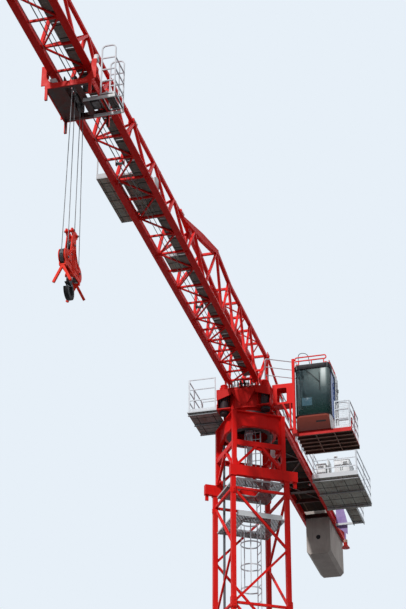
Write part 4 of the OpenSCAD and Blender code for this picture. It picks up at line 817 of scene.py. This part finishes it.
mast = {
    "turn": 33, "half": 0.5, "leg": 0.08, "foot": 0.35, "section": 2.1, "sections": 6, "plate": 0.03, "thick": 0.01,
    "boltsAt": (-0.08, -0.035, 0.035, 0.08),
}

towerHead = {
    "column": [(0.05, 0), (0.06, 0.01), (0.06, 0.16), (0.045, 0.18), (0.045, 0.86), (0.075, 0.88), (0.075, 1.05),
        (0.06, 1.06)],
    "pipes": [(0.06, 0.05, 14.4), (0.02, 0.4, 14.36), (-0.1, 0.08, 14.42), (0.09, -0.07, 14.38)],  # place and top
    "foot": 13.17,
    "ladder": {"x": 0.13, "sides": (0.055, 0.225), "top": 14.3, "firstRung": 13.25, "step": 0.14, "rungs": 8},
    "boxes": [  # terminal box, its lid and a lamp
        ((-0.03, 0.385, 13.76), (0.05, 0.46, 13.92), 0.008), ((0.05, 0.395, 13.775), (0.056, 0.45, 13.905), 0.003),
        ((0.1, -0.02, 13.6), (0.2, 0.03, 13.68), 0.012)],
}


def quarters(things):  # the same things on all four corners of the mast
    aims = [Matrix.Rotation(math.pi / 2 * n + math.radians(mast["turn"]), 4, "Z") for n in range(4)]
    out = [copyAt(thing, aim) for aim in aims for thing in things]
    for thing in things:
        bpy.data.objects.remove(thing)
    return out


def makeMastJoints():
    half, wide = mast["half"], mast["plate"]
    inner, outer = half + mast["leg"] / 2 - 0.001, half + mast["leg"] / 2 + mast["thick"]
    plates, bolts, pins = [], [], []
    for n in range(mast["sections"] + 1):
        z = mast["foot"] + n * mast["section"]
        low = z + 0.015 if n == 0 else z - 0.11
        high = z - 0.005 if n == mast["sections"] else z + 0.11
        plates.append(block((inner, half - wide, low), (outer, half + wide, high), 0.003))
        plates.append(block((half - wide, inner, low), (half + wide, outer, high), 0.003))
        for dz in mast["boltsAt"]:
            if low < z + dz < high:
                bolts += [((outer, half, z + dz), (1, 0, 0)), ((half, outer, z + dz), (0, 1, 0))]
        pins.append(rod((half - 0.075, half - 0.02, z + 0.05), (half - 0.03, half - 0.02, z + 0.05), 0.012, 10, 0.002))
    assemble("mast_splices", "red_paint", quarters(plates + boltHeads(bolts, 0.0095)), "tower")
    assemble("mast_joint_pins", "galvanised", quarters(pins), "tower")


def makeHeadInside():
    foot, ladder = towerHead["foot"], towerHead["ladder"]
    metal = [turned(towerHead["column"], (-0.02, -0.02, 13.4), sides=28)]
    metal += pipes([[(x, y, foot), (x, y, top - 0.12), (x * 0.6, y * 0.75, top)] for x, y, top in towerHead["pipes"]],
                   0.011, 0.06)
    x, (left, right) = ladder["x"], ladder["sides"]
    metal += [rod((x, y, foot), (x, y, ladder["top"]), 0.011, 8) for y in (left, right)]
    for n in range(ladder["rungs"]):
        z = ladder["firstRung"] + n * ladder["step"]
        metal.append(rod((x, left, z), (x, right, z), 0.007, 8))
    assemble("head_ladder_and_pipes", "galvanised", metal, "tower")
    lampArm = rod((0.12, 0.03, 13.64), (0.13, 0.055, 13.64), 0.006, 8)
    assemble("head_terminal_box", "white_paint", blocks(towerHead["boxes"]) + [lampArm], "tower")


makeMastJoints()
makeHeadInside()
print("mast and tower head dressed")

# turret, slewing gear, the jib's root and the cab's platform

turret = {
    "motor": (0.365, 0.385), "plateTop": 14.61, "drum": 0.43, "boltRing": 0.455, "bolts": 40,
    "cheek": 0.24,  # no bolts where the legs' cheeks stand
    "ribsAt": (-28, -8, 14, 34, 52, -50),
    "footPin": [(0.04, 0), (0.046, 0.005), (0.046, 0.018), (0.036, 0.024)],
    "fins": [(0.045, 0)] + [(r, 0.028 * n + h) for n in range(3)
                            for r, h in ((0.07, 0.004), (0.07, 0.012), (0.06, 0.016), (0.06, 0.028))]
    + [(0.07, 0.088), (0.07, 0.1), (0.05, 0.112), (0.03, 0.118)],
}

root = {
    "hosesAt": (-0.185, -0.125, -0.065, 0.075, 0.135),
    "sheave": [(0.06, 0), (0.066, 0.004), (0.052, 0.01), (0.066, 0.016), (0.06, 0.02)],
    "blocksAt": (-0.2, -0.095, 0.095, 0.165),
    "hoops": [((0.47, -0.23), (0.47, -0.14), 14.99, 15.13), ((0.4, 0.03), (0.4, 0.12), 14.99, 15.09)],
    "lamp": [(0.03, 0), (0.036, 0.005), (0.036, 0.05), (0.02, 0.06)],
}

access = {
    "from": (0.0, 0.3), "to": (-0.3, 0.842), "barsAt": (15.44, 15.61), "armsAt": (15.1, 15.46),
    "arch": [(-0.22, 0.895, 15.53), (-0.22, 0.885, 15.93), (-0.22, 1.07, 15.9), (-0.22, 1.12, 15.53)],
    "archFoot": [(0.016, 0), (0.018, 0.003), (0.018, 0.014), (0.01, 0.02)],
    "clampsAt": [(x, y) for x in (-0.04, -0.38, -0.7) for y in (0.875, 1.476)],
    "cornerLamp": [(0.014, 0), (0.018, 0.004), (0.018, 0.02), (0.009, 0.03)],
}

gate = {"x": -0.128, "left": 1.6, "right": 1.815, "low": 14.245, "high": 14.76, "wire": 0.0022}

lampBox = {
    "blocks": [((-0.62, 1.812, 14.62), (-0.56, 1.848, 14.78), 0.008), ((-0.615, 1.818, 14.775),
        (-0.565, 1.842, 14.8), 0.006),
               ((-0.3, 1.815, 14.4), (-0.24, 1.847, 14.5), 0.006)],
    "posts": [((-0.59, 1.83, 14.25), (-0.59, 1.83, 14.63), 0.01, 10), ((-0.27, 1.831, 14.25),
        (-0.27, 1.831, 14.41), 0.01, 10)],
}


def makeTurretParts():
    top, cheek = turret["plateTop"], turret["cheek"]
    red = boltHeads([((x, y, top), (0, 0, 1)) for x, y in ring(turret["boltRing"], turret["bolts"])
                     if not (x > cheek and abs(y) > cheek)], 0.0095)
    for angle in turret["ribsAt"]:  # upright stiffeners on the drum
        rib = block((turret["drum"] - 0.004, -0.005, 14.615), (turret["drum"] + 0.018, 0.005, 14.98), 0.002)
        rib.data.transform(Matrix.Rotation(math.radians(angle), 4, "Z"))
        red.append(rib)
    red.append(block((0.426, -0.075, 14.7), (0.44, 0.075, 14.9), 0.004))  # hatch
    red += boltHeads([((0.44, y, z), (1, 0, 0)) for y in (-0.062, 0.062) for z in (14.712, 14.8, 14.888)], 0.006)
    for side in bothSides:  # jib foot pins with their keeper plates
        near, out = sorted((side * 0.309, side * 0.319))
        red.append(turned(turret["footPin"], (0.505, side * 0.309, 15.11), (0, side, 0), 24))
        red.append(block((0.485, near, 15.035), (0.525, out, 15.075), 0.003))
    assemble("turret_small_parts", "red_paint", red)

    motors, hoses = [], []
    for side in bothSides:
        x, y = turret["motor"][0], side * turret["motor"][1]
        box = y + side * 0.055
        motors.append(turned(turret["fins"], (x, y, 15.018), sides=36))
        motors.append(block((x - 0.035, box - 0.025, 15.02), (x + 0.035, box + 0.025, 15.085), 0.008))
        motors += boltHeads([((x + dx, y + dy, 14.786), (0, 0, 1)) for dx, dy in ring(0.08, 8)], 0.006)
        hoses.append([(x, y + side * 0.07, 15.05), (x - 0.06, y + side * 0.1, 15.00),
            (x - 0.12, y - side * 0.02, 15.03),
                      (x - 0.15, y - side * 0.08, 14.995)])
    assemble("slew_motor_fins", "red_paint", motors)

    black = pipes(hoses, 0.009, 0.05, 2)
    black += pipes([[(0.3, y, 14.99), (0.43, y, 15.06 + 0.02 * (n % 2)), (0.5, y + 0.03, 15.02), (0.56, y + 0.04, 15.1)]
                    for n, y in enumerate(root["hosesAt"])], 0.008, 0.05, 2)
    black += [turned(root["sheave"], (0.5, y - 0.01, 15.055), (0, 1, 0), 28) for y in (-0.034, 0.034)]
    black.append(rod((0.5, -0.075, 15.055), (0.5, 0.075, 15.055), 0.01))
    assemble("root_hoses_and_sheaves", "black_paint", black)
    pale = [block((0.455, y - 0.018, 14.985), (0.492, y + 0.018, 15.075), 0.006) for y in root["blocksAt"]]
    pale += pipes([hoop(*path) for path in root["hoops"]], 0.008, 0.03)
    pale.append(turned(root["lamp"], (0.44, -0.03, 14.988), sides=20))
    pale += [block((0.46, y, 14.985), (0.54, y + 0.006, 15.08), 0.002) for y in (-0.079, 0.073)]
    assemble("root_pale_parts", "white_paint", pale)


def makeAccessRails():  # rails between the turret and the cab, and the arch over the cab's roof
    a, b = access["from"], access["to"]
    rails = pipes([[(*a, z), (*b, z)] for z in access["barsAt"]] + [[(-0.02, 0.35, 14.985), (-0.02, 0.35, 15.44)]],
        0.008)
    rails.append(pipe([(*a, 14.985), (*a, 15.78), (*b, 15.78), (*b, 15.02)], 0.01, 0.05))
    rails += [rod((b[0], b[1] - 0.004, z), (b[0], 0.873, z), 0.008, 8) for z in access["armsAt"]]
    assemble("access_rails", "galvanised", rails)
    feet = [turned(access["archFoot"], (-0.22, y, 15.533), sides=16) for y in (0.895, 1.12)]
    assemble("roof_arch", "black_paint", [pipe(access["arch"], 0.006, 0.12, detail=2)] + feet)
    assemble("roof_clamps", "red_paint", [block((x, y, 15.53), (x + 0.03, y + 0.034, 15.562), 0.006)
                                          for x, y in access["clampsAt"]])
    assemble("roof_corner_lamps", "white_paint", [turned(access["cornerLamp"], (x, 1.493, 15.56), sides=16)
                                                  for x in (-0.025, -0.365)])


def makeGate():  # white mesh gate on the cab's platform, and the red lamp box at its far corner
    x, left, right, low, high = (gate[key] for key in ("x", "left", "right", "low", "high"))
    bars = [pipe(hoop((x, left), (x, right), low, high), 0.009, 0.07, detail=2)]
    for n in range(1, 9):
        y = left + n * (right - left) / 9
        bars.append(rod((x, y, low + 0.04), (x, y, high - 0.03), gate["wire"], 6))
    bars += [rod((x, left, low + n * 0.037), (x, right, low + n * 0.037), gate["wire"], 6) for n in range(1, 14)]
    assemble("platform_gate", "white_paint", bars)
    assemble("platform_lamp_box", "red_paint", blocks(lampBox["blocks"]) + rods(lampBox["posts"]))


makeTurretParts()
makeAccessRails()
makeGate()
print("turret and cab platform dressed")

# winches, switchgear and counterweights

hoist = {
    "at": (-5.4, 15.425), "drum": 0.133, "width": 0.348, "rope": 0.014, "cheek": 0.165,
    "bearing": [(0.06, 0), (0.075, 0.006), (0.075, 0.03), (0.04, 0.04)],
    "boltsAt": [(dx, z) for dx in (-0.2, -0.1, 0.1, 0.2) for z in (15.26, 15.51)],
}

trolleyWinch = {
    "wheel": [(0.09, 0), (0.108, 0.008), (0.112, 0.02), (0.112, 0.1), (0.108, 0.112), (0.09, 0.12)],
    "wheelAt": (6.32, 15.66),
    "blocks": [((6.23, -0.01, 15.21), (6.41, 0.09, 15.58), 0.02), ((7.00, -0.06, 15.425), (7.1, 0.06, 15.5), 0.015)],
}

switchgear = {
    "plates": [  # cabinet doors, roofs and side covers
        ((-4.093, 0.785, 15.085), (-4.082, 0.918, 15.425), 0.004),
        ((-4.093, 0.932, 15.085), (-4.082, 1.065, 15.425), 0.004),
        ((-4.62, 0.76, 15.443), (-4.08, 1.09, 15.458), 0.005), ((-4.6, 1.078, 15.085), (-4.36, 1.088, 15.425), 0.004),
        ((-4.34, 1.078, 15.085), (-4.1, 1.088, 15.425), 0.004), ((-4.053, 0.42, 15.075), (-4.043, 0.59, 15.37), 0.004),
        ((-4.48, 0.402, 15.383), (-4.04, 0.608, 15.396), 0.004),
        ((-4.37, 0.654, 15.09), (-4.09, 0.662, 15.48), 0.004)],
    "ballLamp": [(0.008, 0), (0.01, 0.003), (0.01, 0.035), (0.024, 0.04), (0.036, 0.052), (0.04, 0.07), (0.036, 0.088),
                 (0.024, 0.1), (0.008, 0.106)],
    "gland": [(0.016, 0), (0.018, 0.004), (0.018, 0.01), (0.011, 0.013), (0.011, 0.022)],
    "glandsAt": [(0.825, 15.115), (0.875, 15.105), (0.835, 15.155)],
    "cablesAt": [(-4.3, 0.5), (-4.2, 0.55), (-4.5, 0.85)],
}

weights = {"first": -6.199, "pitch": 0.2055, "slabs": 7, "hole": (-6.0965, 14.64), "holeRadius": 0.044}


def grooved(radius, length, pitch, cheek):  # a drum wound with rope between two cheeks
    profile = [(cheek * 0.9, 0), (cheek, 0.004), (cheek, 0.012), (radius, 0.016)]
    z = 0.018
    while z < length - 0.02:
        profile += [(radius + 0.004, z + pitch * 0.3), (radius + 0.004, z + pitch * 0.7), (radius, z + pitch)]
        z += pitch
    return profile + [(radius, length - 0.016), (cheek, length - 0.012), (cheek, length - 0.004), (cheek * 0.9, length)]


def ribbedMotor(radius, length, fins):
    profile = [(radius * 0.7, 0), (radius * 0.92, 0.008), (radius * 0.92, 0.03)]
    step = (length - 0.09) / fins
    for n in range(fins):
        z = 0.03 + n * step
        profile += [(radius, z + step * 0.1), (radius, z + step * 0.5), (radius * 0.88, z + step * 0.6),
            (radius * 0.88, z + step)]
    return profile + [(radius * 0.95, length - 0.055), (radius * 0.95, length - 0.01), (radius * 0.7, length)]


def makeWinches():
    x, z = hoist["at"]
    drum = grooved(hoist["drum"], hoist["width"], hoist["rope"], hoist["cheek"])
    assemble("hoist_drum_rope", "dark_steel", [turned(drum, (x, -hoist["width"] / 2, z), (0, 1, 0), 40)])
    gear = [turned(ribbedMotor(0.075, 0.3, 9), (-5.63, -0.05, 15.405), (-1, 0, 0), 28)]
    gear.append(block((-5.93, 0.02, 15.36), (-5.8, 0.1, 15.46), 0.012))
    for side in bothSides:
        gear.append(turned(hoist["bearing"], (x, side * 0.204, z), (0, side, 0), 28))
        gear += boltHeads([((x + dx, side * 0.205, height), (0, side, 0)) for dx, height in hoist["boltsAt"]], 0.009)
    assemble("hoist_winch_parts", "galvanised", gear)

    x, z = trolleyWinch["wheelAt"]
    pale = [turned(trolleyWinch["wheel"], (x, -0.02, z), (0, 1, 0), 40)] + blocks(trolleyWinch["blocks"])
    pale.append(turned(ribbedMotor(0.06, 0.26, 8), (6.98, -0.02, 15.47), (-1, 0, 0), 24))
    pale += boltHeads([((x + dx, 0.094, z + dz), (0, 1, 0)) for dx, dz in ring(0.085, 8)], 0.006)
    assemble("trolley_winch_housing", "white_paint", pale)
    drum = turned(grooved(0.072, 0.13, 0.01, 0.092), (6.95, -0.19, 15.315), (0, 1, 0), 32)
    assemble("trolley_winch_drum", "dark_steel", [drum])


def makeSwitchgear():
    lamp = turned(switchgear["ballLamp"], (-4.105, 0.805, 15.455), sides=24)
    assemble("switchgear_doors", "white_paint", blocks(switchgear["plates"]) + [lamp])
    dark = pipes([[(-4.083, y, 15.22), (-4.068, y, 15.22), (-4.068, y, 15.29),
        (-4.083, y, 15.29)] for y in (0.905, 0.945)],
                 0.004, 0.008)
    dark += [turned(switchgear["gland"], (-4.083, y, z), (1, 0, 0), 16) for y, z in switchgear["glandsAt"]]
    for n in range(7):  # slots of the vents, drawn as black strips: painted shade
        low, high = n * 0.011, n * 0.011 + 0.005
        dark.append(block((-4.084, 0.955, 15.33 + low), (-4.08, 1.045, 15.33 + high)))
        dark.append(block((-4.045, 0.445, 15.27 + low), (-4.041, 0.565, 15.27 + high)))
    dark += pipes([[(x, y, 15.06), (x + 0.05, y + 0.06, 15.075), (x - 0.02, y + 0.13, 15.07),
        (x + 0.06, y + 0.2, 15.075)]
                   for x, y in switchgear["cablesAt"]], 0.008, 0.05)
    assemble("switchgear_fittings", "black_paint", dark)


def makeWeightParts():
    x, z = weights["hole"]
    rim = pipe([(x + 0.001, y, z + dz) for y, dz in ring(weights["holeRadius"], 20)], 0.005, closed=True)
    # a black disc across the hole: painted shade of its inside
    bowl = turned([(0.042, 0), (0.042, 0.003)], (x - 0.0015, 0, z), (1, 0, 0), 24)
    assemble("weight_hole", "black_paint", [rim, bowl])
    slabs = [weights["first"] - weights["pitch"] * n for n in range(weights["slabs"])]
    loops = [hoop((x, side * 0.15 - 0.035), (x, side * 0.15 + 0.035), 15.255, 15.295)
        for x in slabs for side in bothSides]
    assemble("weight_lifting_loops", "galvanised", pipes(loops, 0.007, 0.03))


makeWinches()
makeSwitchgear()
makeWeightParts()
print("winches, switchgear and weights dressed")

# hook block and jib joints

hookBlock = {
    "x": 9.78, "z": 12.2, "face": 0.044, "pitch": 6,
    "bosses": [(-0.2246, 0, 0.04), (0.2246, 0, 0.04), (0, 0.3, 0.03)],  # place from the middle, and radius
    "ribs": [((0.19, 0.05), (0.04, 0.255), 0.011), ((0.18, -0.012), (0.03, -0.012), 0.01), ((0.03, -0.09),
        (0.03, 0.21), 0.01)],
    "bars": [(0.1, 0.02), (0.135, -0.075), (0.06, 0.13)],
    "nut": [(0.052, 0), (0.06, 0.006), (0.06, 0.03), (0.052, 0.036)],
    "hook": 11.834,
    "collar": [(0.04, 0), (0.046, 0.004), (0.046, 0.02), (0.034, 0.026)],
}

jibJoints = {
    "rootsAt": (2.951, 7.351, 11.751), "chord": 0.245, "pinsZ": 15.118,
    "topsAt": (7.351, 11.751, 4.72), "topZ": 16.113,
    "pin": [(0.02, 0), (0.023, 0.003), (0.023, 0.012), (0.015, 0.016)],
    "lugs": 13, "firstLug": 5.0, "lugPitch": 0.88,
}


def makeHookBlockParts():
    x0, z0, face = hookBlock["x"], hookBlock["z"], hookBlock["face"]
    red, steel = [], []
    for side in bothSides:
        for dx, dz, r in hookBlock["bosses"]:
            x, z = x0 + dx, z0 + dz
            boss = [(r, 0), (r + 0.006, 0.002), (r + 0.006, 0.006), (r * 0.7, 0.009)]
            red.append(turned(boss, (x, side * face, z), (0, side, 0), 24))
            steel.append(turned([(0.017, 0), (0.017, 0.012), (0.012, 0.015)], (x, side * (face + 0.008), z),
                (0, side, 0), 6))
            red += boltHeads([((x + a, side * (face + 0.006), z + b), (0, side, 0))
                              for a, b in ring(r - 0.008, hookBlock["pitch"], 0.5)], 0.0035)
        y = side * (face + 0.001)
        red += [rod((x0 + end * a[0], y, z0 + a[1]), (x0 + end * b[0], y, z0 + b[1]), radius, 8)
                for end in bothSides for a, b, radius in hookBlock["ribs"]]
    for end in bothSides:
        steel += [rod((x0 + end * dx, -0.05, z0 + dz), (x0 + end * dx, 0.05, z0 + dz), 0.009, 10, 0.001)
                  for dx, dz in hookBlock["bars"]]
        steel += boltHeads([((x0 + end * 0.076, side * (face + 0.017), z0 + 0.484), (0, side, 0))
            for side in bothSides], 0.012)
    red.append(turned(hookBlock["nut"], (x0, 0, z0 - 0.158)))
    assemble("block_bosses", "red_paint", red, "hook_block", special["block_frame"])
    assemble("block_bolts", "dark_steel", steel, "hook_block")
    low = hookBlock["hook"]
    latch = pipe([(x0 - 0.012, 0, low + 0.075), (x0 + 0.052, 0, low + 0.055), (x0 + 0.088, 0, low + 0.005)],
        0.007, 0.03)
    pivot = rod((x0 - 0.016, -0.036, low + 0.078), (x0 - 0.016, 0.036, low + 0.078), 0.009, 12, 0.001)
    collar = turned(hookBlock["collar"], (x0, 0, low + 0.168), sides=6)
    assemble("hook_latch", "galvanised", [latch, pivot, collar], "hook")


def makeJibJoints():
    red, pale = [], []
    z, topZ = jibJoints["pinsZ"], jibJoints["topZ"]
    for x in jibJoints["rootsAt"]:
        for side in bothSides:
            y = side * jibJoints["chord"]
            red.append(block((x - 0.11, y - 0.04, 15.16), (x + 0.11, y + 0.04, 15.172), 0.003))
            for dx in (-0.05, 0.05):
                pale.append(turned(jibJoints["pin"], (x + dx, y + side * 0.036, z), (0, side, 0), 16))
                pale.append(rod((x + dx, y - side * 0.03, z), (x + dx, y - side * 0.048, z), 0.016, 12, 0.002))
    for x in jibJoints["topsAt"]:
        red.append(block((x - 0.09, -0.046, topZ - 0.04), (x + 0.09, 0.046, topZ + 0.04), 0.006))
        pale += [rod((x + dx, -0.062, topZ), (x + dx, 0.062, topZ), 0.016, 12, 0.002) for dx in (-0.04, 0.04)]
    for n in range(jibJoints["lugs"]):  # lugs along the top chord
        x = jibJoints["firstLug"] + n * jibJoints["lugPitch"]
        red.append(block((x - 0.02, -0.012, 16.14), (x + 0.02, 0.012, 16.185), 0.004))
    assemble("jib_joint_plates", "red_paint", red)
    assemble("jib_joint_pins", "white_paint", pale)


makeHookBlockParts()
makeJibJoints()
print("hook block and jib joints dressed")
